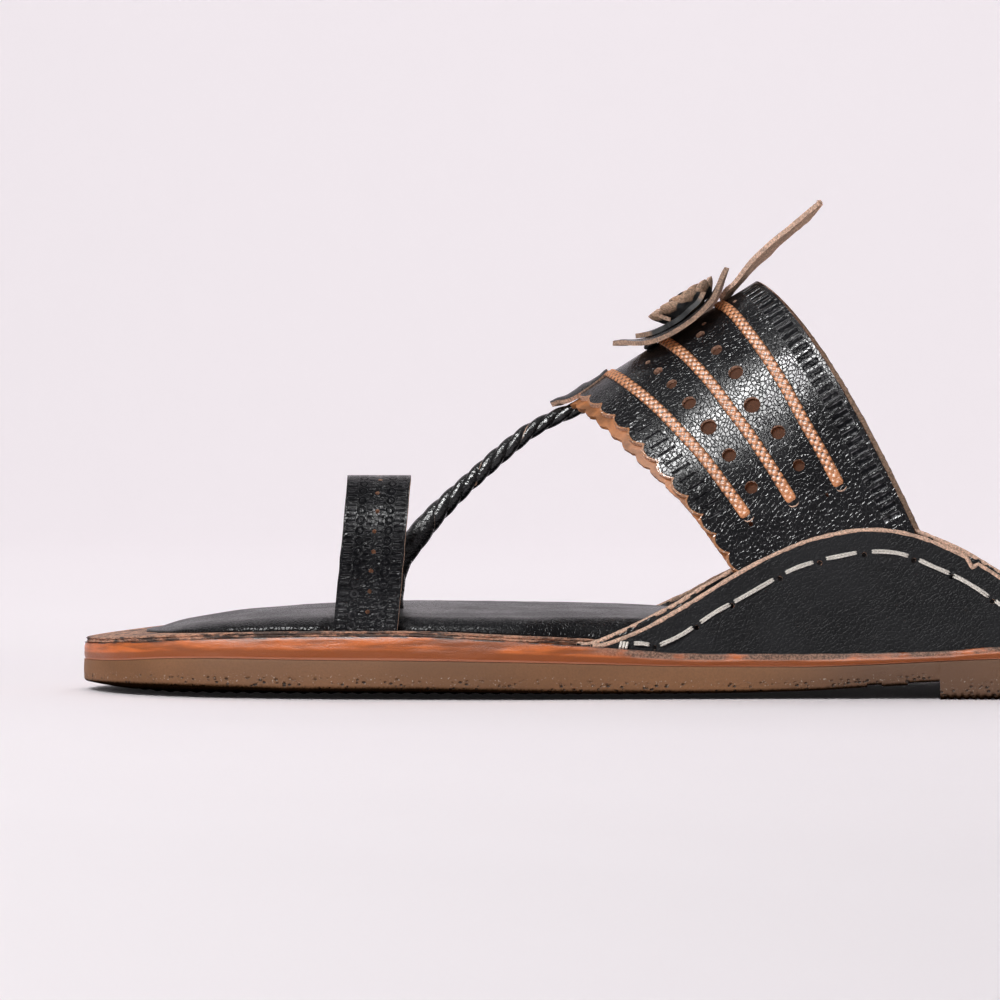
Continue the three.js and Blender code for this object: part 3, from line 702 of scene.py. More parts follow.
def board_finish():
    """Raw edge of the insole board: pale pinkish fibres with dark specks and black smears of dye."""
    finish = Finish("raw_board", 0.9)
    fine = finish.noise(0.5, 5.0, finish.place((2.2, 2.2, 1)), 0.75)
    smear = finish.noise(2.4, 4.0, finish.place((3, 3, 0.8)), 0.7)
    tone = fine.mottle(colours().board, 0.35, 1.35, 0.36, 0.62)
    tone = smear.ramp(0.50, 0.58, 0, 0.85).mix(tone, (0.025, 0.016, 0.014))
    return finish.made(Base_Color=tone, Normal=fine.bump(0.25))


def cord_finish():
    """Glossy black strands, creased across where the cord is plain, with the raw edge of the strip
    showing here and there along the lay."""
    finish = Finish("twisted_cord", 0.22)
    flash = finish.attribute("seam").ramp(0.90, 0.97) * finish.noise(4.5, 2.0).ramp(0.52, 0.60)
    tone = (flash * 0.8).mix(shade(colours().black, 0.6), shade(colours().raw, 0.8))
    crease = finish.noise(0.8, 3.0, finish.place((2.6, 2.6, 0.8), (0, 0.75, 0)))
    crease = crease * finish.attribute("plain").ramp(0.1, 0.7, 0.25, 1)
    return finish.made(Base_Color=tone, Roughness=flash * 0.5 + 0.22,
                       Normal=finish.noise(0.9, 3.0).bump(0.22, crease.bump(0.55)))


def petal_edge():
    """Cut edge of the petal layer: raw at its two ends and dyed black between them."""
    finish = Finish("petal_edge", 0.7)
    raw = finish.noise(0.45, 5.0, rough=0.7).mottle(FLOWER_EDGE, 0.4, 1.1, 0.35, 0.68)
    return finish.made(Base_Color=finish.attribute("end").mix(colours().black, raw))


def rosette_finish():
    """Suede that darkens towards the foot of the rolled strip, where the dye has run up."""
    finish = Finish("flower_suede", 0.9)
    fibre = finish.noise(0.5, 5.0, rough=0.7)
    tone = fibre.mottle(colours().suede, 0.5, 1.25, 0.35, 0.66)
    # Painted shade: black towards the foot of the strip and between the lobes.
    foot_shade = finish.attribute("foot_shade") + finish.noise(2.0, 2.0) * 0.5
    tone = foot_shade.ramp(0.75, 0.92).mix(tone, colours().black)
    return finish.made(Base_Color=tone, Normal=fibre.bump(0.18))


def edge_finishes():
    """Back and cut edge of dyed leather, made once and then found by their names."""
    known = bpy.data.materials
    return (known.get("suede_back") or raw_leather("suede_back", colours().suede),
            known.get("raw_edge") or raw_leather("raw_edge", colours().raw, 0.8, 0.4, 0.45, 0.06))


# ---------------------------------------------------------------- sole
def edge_xy(turn, side, inset):
    """Edge of the sole, moved in along its own normal: x is -HALF times the cosine of the turn, and y
    comes from the side's column of the outline."""
    step = 0.002

    def at(angle):
        angle = np.clip(angle, 0, np.pi)
        return np.stack([-HALF * np.cos(angle), EDGE[side](angle)], -1)

    tangent = unit(at(turn + step) - at(turn - step))
    inward = np.stack([tangent[:, 1], -tangent[:, 0]], -1) * OUTWARD[side]
    return at(turn) + inward * np.broadcast_to(inset, turn.shape)[:, None]


def sole_grid(turn, rows):
    """Rows of points round the sole, down the inner side and back along the outer side. A row is
    (reach, inset, height): reach 0 is the line midway between the sides, reach 1 the edge moved in by
    inset(side), and height a function of u, y and the distance to the edge."""
    grid = []
    for reach, inset, height in rows:
        medial, lateral = [edge_xy(turn, side, inset(side)) for side in OUTWARD]
        lateral[[0, -1]] = medial[[0, -1]]
        spine = (medial + lateral) / 2
        half = np.linalg.norm(medial - lateral, axis=1) / 2
        xy = np.concatenate([between(spine, medial, reach), between(spine, lateral, reach)[::-1]])
        far = np.concatenate([half, half[::-1]]) * (1 - reach)
        grid.append(np.column_stack([xy, height(xy[:, 0] + HALF, xy[:, 1], far)]))
    return np.array(grid)


def sole_layer(name, turn, rows, rise, key, value):
    """Closed piece from the rows of a sole grid, with each row's rise and a value that changes along
    the sole. Rise goes from 0 to 1 up the side wall."""
    grid = sole_grid(turn, rows)
    values = {"rise": np.broadcast_to(np.array(rise)[:, None], grid.shape[:2]),
              key: np.broadcast_to(np.concatenate([value, value[::-1]])[None], grid.shape[:2])}
    return close_up(mesh_object(name, grid, grid_quads(*grid.shape[:2], wrap=True), values), SHARP)


def underside(u, reach):
    """Flat in the middle, lifted at the rim by a power of 1.5, stepped by grooves and heel, with
    ribs pressed up into it: raised cosine waves across the tread."""
    def past(step):
        return u > step + STEP_RUN / 2

    outer = max(reach - FLAT_SHARE, 0) / (1 - FLAT_SHARE)
    lifted = LEVEL["middle"](u) + (LEVEL["rim"](u) - LEVEL["middle"](u)) * outer ** 1.5
    grooved = np.any([past(start) & ~past(end) for start, end in GROOVES], axis=0)
    tread = 0.35 * window(u, 20, 150, 8) * (1 - smooth((reach - 0.75) / 0.2))
    ribs = tread * (0.5 - 0.5 * np.cos(2 * np.pi * u / 3.2)) ** 0.6
    heel = 0.42 * (0.5 - 0.5 * np.cos(2 * np.pi * (u - BREAST - 0.9) / 1.72)) ** 1.4
    front = lifted + grooved * TREAD_STEP + ribs
    return np.where(past(BREAST), heel * smooth((u - BREAST - 0.5) / 0.5), front)


def outsole():
    """Rubber sole: underside, side wall that bulges by a sine and is rounded at its lower rim, top."""
    steps = [s + run for groove in GROOVES for s in groove for run in (0, STEP_RUN)]
    turn = np.unique(np.concatenate([
        np.linspace(0, turn_at(BREAST - 1), 330), turn_at(np.array(steps)),
        np.linspace(turn_at(BREAST + 0.3), np.pi, 360)]))
    rows, rise = [], []
    for reach in (0, 0.15, 0.3, 0.45, 0.6, 0.7, 0.8, 0.88, 0.95):
        rows.append((reach, lambda side: 0.45, lambda u, y, far, r=reach: underside(u, r)))
        rise.append(BELOW)
    for t in np.concatenate([[0, 0.04, 0.1, 0.2], np.linspace(0.32, 0.9, 6), [0.97, 1]]):
        inset = 0.45 * (1 - min(t / 0.12, 1)) ** 2 - 0.12 * math.sin(math.pi * t) ** 0.7
        rows.append((1, lambda side, i=inset: i,
                     lambda u, y, far, t=t: between(underside(u, 1), LEVEL["rubber"](u) - 0.05, t)))
        rise.append(t)
    for reach in (0.97, 0.6, 0):
        rows.append((reach, lambda side: 0.05, lambda u, y, far: LEVEL["rubber"](u)))
        rise.append(ABOVE)
    piece = sole_layer("outsole_rubber", turn, rows, rise, "far", smooth((turn - turn_at(150)) / 0.35))
    place(piece, [rubber_finish()], "outsole")


def plate(name, bottom, top, inset, profile, count):
    """Flat piece of the sole: its side wall goes from bottom to top, in from the edge by inset(u) and
    profile(share of the height, u, side), and its two faces are plain."""
    turn = np.linspace(0, np.pi, count)
    u = HALF * (1 - np.cos(turn))
    rows, rise = [], []
    for reach in (0, 0.5, 0.9):
        rows.append((reach, lambda side: inset(u), lambda x, y, far: bottom(x)))
        rise.append(BELOW)
    for t in np.linspace(0, 1, 13):
        rows.append((1, lambda side, t=t: inset(u) + profile(t, u, side),
                     lambda x, y, far, t=t: between(bottom(x), top(x), t)))
        rise.append(t)
    for reach in (0.97, 0.9, 0.5, 0):
        rows.append((reach, lambda side: inset(u) + 0.1, lambda x, y, far: top(x)))
        rise.append(ABOVE)
    return sole_layer(name, turn, rows, rise, "back", smooth((u - 118) / 14))


def midsole():
    """Waxed leather midsole: a convex edge, slightly uneven, with a scraped step near its top."""
    def profile(t, u, side):
        seed = 3 if side == "medial" else 4
        swell = -0.40 * max(math.sin(math.pi * t), 0) ** 0.6
        uneven = 0.10 * wander(u, 40 * t, 7, seed=seed) * math.sin(math.pi * t)
        step = 0.22 * smooth((u - 122) / 10) * float(smooth((t - 0.45) / 0.15))
        return 0.42 + swell + uneven + step

    piece = plate("midsole_leather", lambda u: LEVEL["rubber"](u) + 0.04, lambda u: LEVEL["midsole"](u) + 0.1,
                  lambda u: -0.1, profile, POINTS["midsole"])
    place(piece, [midsole_finish()], "midsole")


def beside_wing(u):
    """0 away from the wings, 1 beside them."""
    x = u - HALF
    front, rear = WING["peak"] - WING_SPAN["medial"][0], WING["peak"] + WING_SPAN["medial"][1]
    return smooth((x - front + 16) / 15) * smooth((rear + 16 - x) / 15)


def insole_board():
    """Raw leather board in two plies, with a ragged edge and a groove between the plies."""
    def profile(t, u, side):
        seed = 11 if side == "medial" else 12
        ragged = 0.28 * wander(u, 30 * t, 1.9, seed=seed)
        groove = 0.32 * math.exp(-((t - 0.5) / 0.12) ** 2)
        corner = 0.25 * (2 * abs(t - 0.5)) ** 6
        return groove + ragged + corner

    piece = plate("insole_board_raw", lambda u: LEVEL["midsole"](u) + 0.12, LEVEL["board"],
                  lambda u: between(0.55, 6.2, beside_wing(u)), profile, POINTS["board"])
    place(piece, [board_finish()], "insole_board")


def pad_inset(u, side):
    """How far the footbed stays in: its own column, more beside the wings and at the toe loop's leg."""
    open_inset = LEVEL["pad_inset"](u)
    beside = between(open_inset, np.maximum(7.0, open_inset), beside_wing(u))
    leg = window(u - HALF, LOOP["x"] - 7.5, LOOP["x"] + 7.5, 3.5) * (side == "medial")
    return beside + 1.9 * leg


def pad_top(u, y, far, reach):
    """Height of the footbed: up from its thin edge by a quarter ellipse, with a low crown, soft
    hollows, and wrinkles near the edge that die out inwards."""
    thin = 0.5
    base = LEVEL["board"](u) + thin
    t = np.minimum(far / PAD_ROUND, 1)
    rounding = np.sqrt(np.maximum(1 - (1 - t) ** 2, 0))
    top = base + np.maximum(LEVEL["pad"](u) - 0.9 * reach ** 2 - base, 0.1) * rounding
    soft = 0.22 * wander(u, y, 17, seed=21) * smooth(far / 9)
    near_edge = window(far, 0.8, 4.5, 2.5)
    wrinkle = 0.07 * near_edge * wander(u + 0.35 * y, y * 0.3, 2.6, seed=22)
    pucker = 0.05 * near_edge * np.cos(2 * np.pi * u / 5.4 + 2 * wander(u, y, 20, seed=23))
    x = u - HALF
    toe, cord = (LOOP["x"], LOOP["y"] - LOOP["half"]), CORD_PRESS
    press = 1.0 * np.exp(-((x - toe[0]) / 9) ** 2 - ((y - toe[1]) / 5) ** 2)
    press += 0.6 * np.exp(-((x - cord[0]) / 5) ** 2 - ((y - cord[1]) / 5) ** 2)
    return top + soft + wrinkle + pucker - press


def footbed():
    """Padded footbed: thin lower edge on the board, then the crowned top from the edge inwards."""
    turn = np.linspace(0, np.pi, POINTS["footbed"])
    u = HALF * (1 - np.cos(turn))

    def inset(side):
        return pad_inset(u, side)

    rows = [(reach, inset, lambda x, y, far: LEVEL["board"](x) + 0.02) for reach in (0, 0.5, 0.9, 1)]
    rows.append((1, lambda side: inset(side) - 0.12, lambda x, y, far: LEVEL["board"](x) + 0.25))
    shares = 1 - np.linspace(0, 1, 46) ** 1.8
    rows += [(reach, inset, lambda x, y, far, r=reach: pad_top(x, y, far, r)) for reach in shares]
    grid = sole_grid(turn, rows)
    piece = close_up(mesh_object("footbed_pad", grid, grid_quads(*grid.shape[:2], wrap=True)))
    skin = black_leather("footbed_leather", 0.33, 1.0, 0.15, wear=0.15, gloss=0.16)
    place(piece, [skin], "footbed")


# ---------------------------------------------------------------- band
def inset_y(x, z, side, inset):
    """Upright wall above the sole's edge: in from it by inset, and leaning in with height."""
    edge = EDGE[side](turn_at(x + HALF))
    return edge - OUTWARD[side] * (inset + WING["lean"] * (z - midsole_top(x)))


def arch_angles():
    """Share of the half arch's length against its angle, half way along the band."""
    angle = np.linspace(0, np.pi / 2, 600)
    run = run_along(half_band(np.full(600, 0.5), angle, "medial"))
    return run / run[-1], angle


def half_band(w, angle, side):
    """Middle of the band's wall on one side. share = 1 - cos(angle)^p; x runs back by
    sweep * share^q, y is the wing's wall times sin(angle)^p, and z falls by drop * share."""
    share = 1 - np.cos(angle).clip(0) ** ARCH_POWER
    drop, sweep = between(*DROP, w), between(*SWEEP, w)
    ridge_x, ridge_z = between(NOSE[0], CREST[0], w), between(NOSE[1], CREST[1], w)
    end_y = inset_y(ridge_x + sweep, ridge_z - drop, side, BAND_MIDDLE)
    return np.stack([ridge_x + sweep * share ** SWEEP_POWER, end_y * np.sin(angle) ** ARCH_POWER,
                     ridge_z - drop * share], -1)


ARCH = arch_angles()


def band_middle(w, v):
    """Middle of the band's wall. w goes along the ridge from 0 to 1; v goes across, from -1 at the
    inner wing over 0 at the ridge to 1 at the outer wing, and past that straight down in the wing."""
    w, v = np.broadcast_arrays(np.asarray(w, float), np.asarray(v, float))
    angle = np.interp(np.abs(v), *ARCH)
    found = np.where((v < 0)[..., None], half_band(w, angle, "medial"), half_band(w, angle, "lateral"))
    down = np.maximum(np.abs(v) - 1, 0) * between(*HALF_ARCH, w)
    slant = SWEEP_POWER * between(SWEEP[0] / DROP[0], SWEEP[1] / DROP[1], w)
    x, z = found[..., 0] + slant * down, found[..., 2] - down
    tucked = np.where(v < 0, inset_y(x, z, "medial", BAND_MIDDLE), inset_y(x, z, "lateral", BAND_MIDDLE))
    return np.stack([x, np.where(down > 0, tucked, found[..., 1]), z], -1)


def band_at(w, v, out=0.0):
    """Point at a distance out from the middle of the band's wall, along the surface's normal."""
    step = 2e-3
    along = band_middle(w + step, v) - band_middle(w - step, v)
    across = band_middle(w, v + step) - band_middle(w, v - step)
    normal = unit(np.cross(along, across))
    return band_middle(w, v) + normal * np.asarray(out)[..., None], normal


def scallop(along, pitch):
    """0 on the rounded lobes' tips and 1 in the sharp notches between them."""
    return 1 - np.abs(np.sin(np.pi * along / pitch)) ** 0.55


def band_edges(v, layer):
    """Front and rear ends of a layer of the band, as w. The outer layer's front is scalloped; the
    lining stands out beyond it at the nose, in scallops of its own."""
    pitch = sizes().scallop
    along = np.abs(v) * HALF_ARCH[0]
    rough = 0.12 * wander(along * 3, v * 40, 1.3, seed=31 if layer == "outer" else 32)
    if layer == "outer":
        front = 2.1 * scallop(along + 0.5 * pitch, pitch) + rough * 0.4
        rear = -0.25 + 0.05 * rough
    else:
        shown = 1 - smooth((np.abs(v) - 0.40) / 0.36)
        teeth = 1.3 * scallop(along + 0.9 * pitch, pitch * 0.93) + 0.35 * scallop(along, 1.1)
        front = 0.3 + (teeth - 2.6) * shown + rough
        rear = 1.5 * rough - 0.1
    return front / RIDGE, 1 + rear / RIDGE


def band_layer(name, layer, out, cell, materials, holes):
    """One layer of the band over its whole arch, with the distances that its stamps are set out by."""
    rows = int(2 * BAND_REACH * HALF_ARCH_MIDDLE / cell)
    cols = int(RIDGE / cell)
    v = np.linspace(-BAND_REACH, BAND_REACH, rows)[:, None]
    front, rear = band_edges(v, layer)
    w = between(front, rear, np.linspace(0, 1, cols)[None])
    grid, _ = band_at(w, v, out)
    width = between(RIDGE, BAND_FOOT, np.minimum(np.abs(v), 1))
    values = {"along": np.abs(v) * between(*HALF_ARCH, w), "from_front": w * width,
              "from_rear": (1 - w) * width, "from_edge": (w - front) * width}
    leather_sheet(name, grid, sizes().leather, materials, "upper", holes, values)


def band():
    """Black outer layer with its punched holes and stamps, over a tan lining."""
    back, raw = edge_finishes()
    holes = [(band_at(w, v, WALL / 2)[0], diameter / 2)
             for w, share, diameter in HOLES for v in (-share, share)]
    skin = black_leather("band_leather", 0.15, 0.85, 0.06, (1, 1, 1.4), band_stamps, band_rim, gloss=0.30)
    hide = lining_finish()
    band_layer("band_outer", "outer", WALL / 2, sizes().detail, [skin, back, raw], holes)
    band_layer("band_lining", "lining", 0.02, CELL["band_lining"], [hide, back, hide], [])


def braid(along, across, half):
    """Height of the braid: two sets of slanting strands, each a row of sine humps, woven over and
    under so that their product leaves a gap where they cross."""
    pitch = 1.75
    one = np.abs(np.sin(np.pi * (along + across * 0.9) / pitch))
    two = np.abs(np.sin(np.pi * (along - across * 0.9) / pitch))
    edge = np.sqrt(np.maximum(1 - (across / half) ** 2, 0)) ** 0.5
    return np.maximum(one * two, 0.35 * np.maximum(one, two) ** 4) * edge


def ribbons():
    """Three braided ribbons over the ridge, each drawn down through a slit at its two ends."""
    parts = []
    half = sizes().ribbon / 2
    for ridge_w, end_w in RIBBONS:
        v = np.linspace(-RIBBON_END, RIBBON_END, POINTS["ribbon"])
        w = between(ridge_w, end_w, smooth(np.abs(v) / RIBBON_END))
        path, normal = band_at(w, v, WALL / 2)
        run = run_along(path)[:, None]
        end = np.minimum(run, run[-1] - run)
        side = unit(np.cross(normal, heading(path)))
        narrow = between(0.45, 1, np.sqrt(np.clip(end / 1.2, 0, 1)))
        across = np.concatenate([np.linspace(-1, 1, 17), np.linspace(0.8, -0.8, 5)]) * half
        top = np.arange(len(across)) < 17
        swing = 0.12 * wander(run, 0, 9, seed=int(1000 * ridge_w))
        raised = braid(run, across, half * 1.02) * np.clip(end / 2.5, 0, 1) ** 0.5
        low = 0.10 + 0.32 * (1 - np.abs(across / half) ** 4)
        height = between(-0.35, np.where(top, low + 0.28 * raised, -0.05), np.clip(end / 0.9, 0, 1))
        offset = across * narrow + swing
        grid = path[:, None] + side[:, None] * offset[..., None] + normal[:, None] * height[..., None]
        # The braid's height, which the finish turns into painted shade in the gaps; lighter near the ends.
        tone = np.where(top, between(raised, 1.0, 0.6 * (1 - np.clip(end / 6, 0, 1))), 1.0)
        parts.append((grid, {"raised": tone}))
    closed_tubes("band_ribbons", parts, ribbon_finish(), "upper")


def slits():
    """Pale lips of the slits that the ribbons go down through: half rings round each end."""
    parts = []
    for ridge_w, end_w in RIBBONS:
        for sign in (-1, 1):
            turn = np.linspace(-0.35 * np.pi, 0.35 * np.pi, 12)
            ahead, aside = 1.25 * np.cos(turn), 1.35 * np.sin(turn)
            v = sign * (RIBBON_END - 0.004 + ahead / HALF_ARCH_MIDDLE)
            path, normal = band_at(end_w + (aside - 0.35 * (ahead - 1)) / BAND_WAIST, v, WALL / 2)
            radius = 0.17 * np.cos(turn / 0.72) ** 0.5
            parts.append((tube(path, normal, radius, 7), {}))
    closed_tubes("slit_lips", parts, edge_finishes()[1], "upper")


# ---------------------------------------------------------------- wings
def wing_span(layer, side):
    """Length of a wing's layer in front of its highest point and behind it, and its height."""
    more = LINING_MORE if layer == "lining" else (0, 0, 0)
    return [size + extra for size, extra in zip(WING_SPAN[side], more)]


def wing_top(x, layer, side):
    """Top of the wing over the midsole: rise * cos^power of the share of the way to its end."""
    front, rear, rise = wing_span(layer, side)
    share = np.minimum(np.abs(x - WING["peak"]) / np.where(x < WING["peak"], front, rear), 1)
    top = midsole_top(x) + rise * np.cos(np.pi / 2 * share) ** WING["power"]
    top = top + 0.12 * wander(x, 0, 6, seed=41 if layer == "outer" else 42)
    if layer == "outer" and side == "medial":
        x0, half, depth = NOTCH
        top = top - depth * np.maximum(1 - np.abs(x - x0) / half, 0)
    return top


def stitch_line(side):
    """Line a set distance below the wing's edge along its normal, as z against x."""
    front, rear, _ = wing_span("outer", side)
    x = np.linspace(WING["peak"] - front - 4, WING["peak"] + rear + 4, 500)
    top = wing_top(x, "plain", side)
    slope = np.gradient(top, x)
    length = np.sqrt(1 + slope ** 2)
    along, height = x + STITCH_DROP * slope / length, top - STITCH_DROP / length
    return lambda q: np.maximum(np.interp(q, along, height), midsole_top(q) + 1.6)


def wing_point(x, z, side, inset):
    """Point of a wing at x and z, in from the sole's edge by inset at the midsole."""
    return np.stack([x, inset_y(x, z, side, inset), z], -1)


def behind_band(x, z):
    """1 where the band's tucked end lies in the wing, 0 away from it."""
    back = 27 - z
    return window(x, 19 - 0.3 * back, 64 + 0.5 * back, 9)


def wing_inset(x, z, layer):
    """How far a wing's outer layer and its lining stand in from the sole's edge: the outer layer
    bulges a little over the band's end, and the lining passes behind it."""
    if layer == "outer":
        return WING_FACE - 0.22 * behind_band(x, z) + 0.18 - 0.08 * wander(x, z, 11, seed=51)
    return between(WING_FACE + 2.5, WING_LINING_FACE, behind_band(x, z)) + 0.06 * wander(x, z, 9, seed=52)


def wing_grid(side, layer, cell):
    """Grid over one wing, from the midsole up to its edge. Columns run along +X."""
    front, rear, _ = wing_span(layer, side)
    x = np.linspace(WING["peak"] - front, WING["peak"] + rear, int((front + rear) / cell))
    base = midsole_top(x) + 0.05
    top = np.maximum(wing_top(x, layer, side), base + 0.5)
    share = np.linspace(0, 1, int(30 / cell))[:, None]
    z = base + (top - base) * share
    x = np.broadcast_to(x, z.shape)
    return wing_point(x, z, side, wing_inset(x, z, layer))


def wing_edges():
    """Raw rounded edges along the top of the wings' layers: a thin tube on each, of uneven width."""
    parts = []
    for side in OUTWARD:
        for layer, back in (("outer", 0.50), ("lining", -0.55)):
            front, rear, _ = wing_span(layer, side)
            x = np.linspace(WING["peak"] - front + 0.3, WING["peak"] + rear - 0.3, POINTS["wing_edge"])
            z = np.maximum(wing_top(x, layer, side), midsole_top(x) + 0.55) - 0.15
            path = wing_point(x, z, side, wing_inset(x, z, layer) + back)
            radius = 0.60 + 0.07 * wander(x, 0, 1.1, seed=43)
            parts.append((tube(path, UP, radius, 10), {}))
    closed_tubes("wing_edges", parts, edge_finishes()[1], "upper")


def wings():
    """Outer layer and lining of both wings."""
    back, raw = edge_finishes()
    skin = black_leather("wing_leather", 0.52, 0.8, 0.05, wear=0.1, gloss=0.12)
    inner = black_leather("wing_lining_leather", 0.3, 0.9, 0.05)
    ends = np.ravel(STITCHES)
    between_stitches = (ends[1:-1:2] + ends[2::2]) / 2
    for side in OUTWARD:
        line = stitch_line(side)
        holes = [(wing_point(x, line(x) - 0.6, side, WING_FACE), 0.62) for x in between_stitches]
        outer = orient(wing_grid(side, "outer", CELL["wing"]), side, 1)
        leather_sheet(f"wing_{side}", outer, sizes().leather, [skin, back, raw], "upper",
                      holes)
        lining = orient(wing_grid(side, "lining", CELL["wing_lining"]), side, -1)
        leather_sheet(f"wing_lining_{side}", lining, sizes().leather, [inner, inner, raw],
                      "upper")


def orient(grid, side, sign):
    """Grid with its faces turned to the sandal's outside (sign 1) or its inside (sign -1)."""
    rows, cols = grid.shape[0] // 2, grid.shape[1] // 2
    p = grid[rows, cols]
    normal = np.cross(grid[rows, cols + 1] - p, grid[rows + 1, cols] - p)
    return grid if normal[1] * OUTWARD[side] * sign > 0 else grid[:, ::-1]


def stitches():
    """Running stitches of doubled thread on both wings: each strand bulges out of the leather by a
    sine to the power of 0.35 and dips into it at its ends. Three short upright ones lock the front end."""
    parts = []
    radius = sizes().thread
    for side, outward in OUTWARD.items():
        line = stitch_line(side)
        out = ACROSS * outward
        for number, (start, end) in enumerate(STITCHES):
            t = np.linspace(0, 1, POINTS["stitch"])
            x = between(start, end, t)
            hump = np.sin(np.pi * t)
            z = line(x) + 0.14 * hump * (-1) ** number
            height = -0.25 + (0.25 + radius * 1.05) * hump ** 0.35
            middle = wing_point(x, z, side, WING_FACE)
            up = -outward * unit(np.cross(heading(middle), out))
            for strand in (-1, 1):
                sway = strand * radius * (0.95 + 0.1 * np.sin(7 * t + number))
                path = middle + out * height[:, None] + up * sway[:, None]
                run = np.linspace(0, end - start, len(t))[:, None]
                lay = 0.9 * np.arange(POINTS["thread"]) / POINTS["thread"] * strand
                fade = np.sqrt(np.clip(hump * 6, 0.15, 1))
                parts.append((tube(path, out, radius * fade, POINTS["thread"]), {"along": run + lay}))
        for k in range(3):
            t = np.linspace(0, 1, 8)
            x = -6.4 + 0.7 * k + 0.4 * t
            z = midsole_top(x) + 0.2 + 1.6 * t
            middle = wing_point(x, z, side, WING_FACE) + out * (0.15 + 0.35 * np.sin(np.pi * t))[:, None]
            parts.append((tube(middle, out, 0.3, POINTS["thread"]), {"along": (z - z[0])[:, None]}))
    closed_tubes("wing_stitches", parts, thread_finish(), "upper")


# ---------------------------------------------------------------- toe loop and cord
def loop_curve(count):
    """Arch of the toe loop, evenly spaced: z = foot + rise cos(a)^p, y = middle + half sin(a)^p."""
    foot = midsole_top(LOOP["x"]) + 0.3
    angle = np.linspace(-np.pi / 2, np.pi / 2, 4000)
    z = foot + (LOOP["top"] - foot) * np.cos(angle).clip(0) ** LOOP["power"]
    y = LOOP["y"] + LOOP["half"] * np.sign(angle) * np.abs(np.sin(angle)) ** LOOP["power"]
    run = run_along(np.stack([y, z], -1))
    at = np.linspace(0, run[-1], count)
    y, z = np.interp(at, run, y), np.interp(at, run, z)
    for _ in range(3):
        y[1:-1] = (y[:-2] + 2 * y[1:-1] + y[2:]) / 4
        z[1:-1] = (z[:-2] + 2 * z[1:-1] + z[2:]) / 4
    return y, z, at, foot


def loop_grid(out, cell, edge):
    """Strap of the toe loop at a distance out from the middle of its wall."""
    y, z, run, foot = loop_curve(int(100 / cell))
    skew = LOOP["skew"] * (y - LOOP["y"] + LOOP["half"]) / (2 * LOOP["half"])
    middle = LOOP["x"] + LOOP["lean"] * (z - foot) - skew
    half = LOOP["width"] / 2 - edge
    uneven = 0.10 * wander(run, 0, 3, seed=61)
    across = np.linspace(-1, 1, int(LOOP["width"] / cell))[None] * (half + uneven)[:, None]
    tangent = heading(np.stack([y, z], -1))
    y, z = y - tangent[:, 1] * out, z + tangent[:, 0] * out
    grid = np.stack(np.broadcast_arrays(middle[:, None] + across, y[:, None], z[:, None]), -1)
    return grid, np.broadcast_to(run[:, None], across.shape), across


def toe_loop():
    """Toe loop in two layers: stamped black outside with small holes along its middle, plain inside."""
    back, raw = edge_finishes()
    skin = black_leather("loop_leather", 0.22, 0.8, 0.06, stamps=loop_stamps, gloss=0.14)
    inner = black_leather("loop_lining_leather", 0.35, 0.8, 0.05)
    half_wall = LOOP["wall"] / 2
    grid, run, across = loop_grid(half_wall, CELL["loop"], 0.0)
    middle = grid[:, grid.shape[1] // 2]
    steps = np.arange(5.5, run[-1, 0] - 4, 4.6)
    rows = [int(np.argmin(np.abs(run[:, 0] - at))) for at in steps]
    holes = [(middle[row] + np.array([0.25 * math.sin(3 * k), 0, 0]), 0.5) for k, row in enumerate(rows)]
    leather_sheet("toe_loop_outer", grid, half_wall - 0.05, [skin, back, raw],
                  "toe_loop", holes, {"along": run, "across": across})
    grid, _, _ = loop_grid(-half_wall, CELL["loop_lining"], 0.25)
    leather_sheet("toe_loop_lining", grid[:, ::-1], half_wall - 0.05, [inner, back, raw],
                  "toe_loop")


def toe_cord():
    """Twisted cord: strands that turn round the route once in each pitch. The cord is thickest and
    smooth where it rises between the toes, and thins towards the band as its twist comes out."""
    route, run = even_path(CORD_ROUTE, POINTS["cord"])
    tangent = heading(route)
    side = unit(ACROSS - tangent * tangent[:, 1:2])
    up = np.cross(side, tangent)
    whole = between(between(2.75, 2.12, smooth((run - 22) / 22)), 1.85, smooth((run - 46) / 22))
    twist = between(0.10, 0.33, smooth((run - 24) / 12))
    parts = []
    for number in range(CORD_STRANDS):
        start = 2 * np.pi * number / CORD_STRANDS
        turn = start - 2 * np.pi * run / CORD_PITCH + 0.25 * wander(run, start, 9, seed=71)
        radial = np.cos(turn)[:, None] * up + np.sin(turn)[:, None] * side
        spread = whole * twist
        thick = (whole - spread) * (1 + 0.04 * wander(run, start, 4, seed=72))
        grid = tube(route + spread[:, None] * radial, radial, thick, POINTS["strand"])
        angle = np.linspace(0, 2 * np.pi, POINTS["strand"], endpoint=False)[None]
        seam = np.cos(angle + 1.2 - 0.25 * wander(run, 0, 6, seed=73)[:, None]) * (number == 0)
        parts.append((grid, {"seam": seam, "plain": 1 - 3 * twist[:, None]}))
    closed_tubes("toe_cord_twist", parts, cord_finish(), "toe_cord")


# ---------------------------------------------------------------- ornaments
SLOPE = math.atan2(CREST[1] - NOSE[1], CREST[0] - NOSE[0])
ALONG = np.array([math.cos(SLOPE), 0, math.sin(SLOPE)])
OUT = np.array([-math.sin(SLOPE), 0, math.cos(SLOPE)])
RIDGE_AT_FLOWER = np.array([FLOWER_X, 0, NOSE[1] + (FLOWER_X - NOSE[0]) * math.tan(SLOPE)])


def on_ridge(a, b, out):
    """Point from the ridge under the flower: a along it, b across it and out from it."""
    return (RIDGE_AT_FLOWER + np.asarray(a)[..., None] * ALONG + np.asarray(b)[..., None] * ACROSS
            + np.asarray(out)[..., None] * OUT)


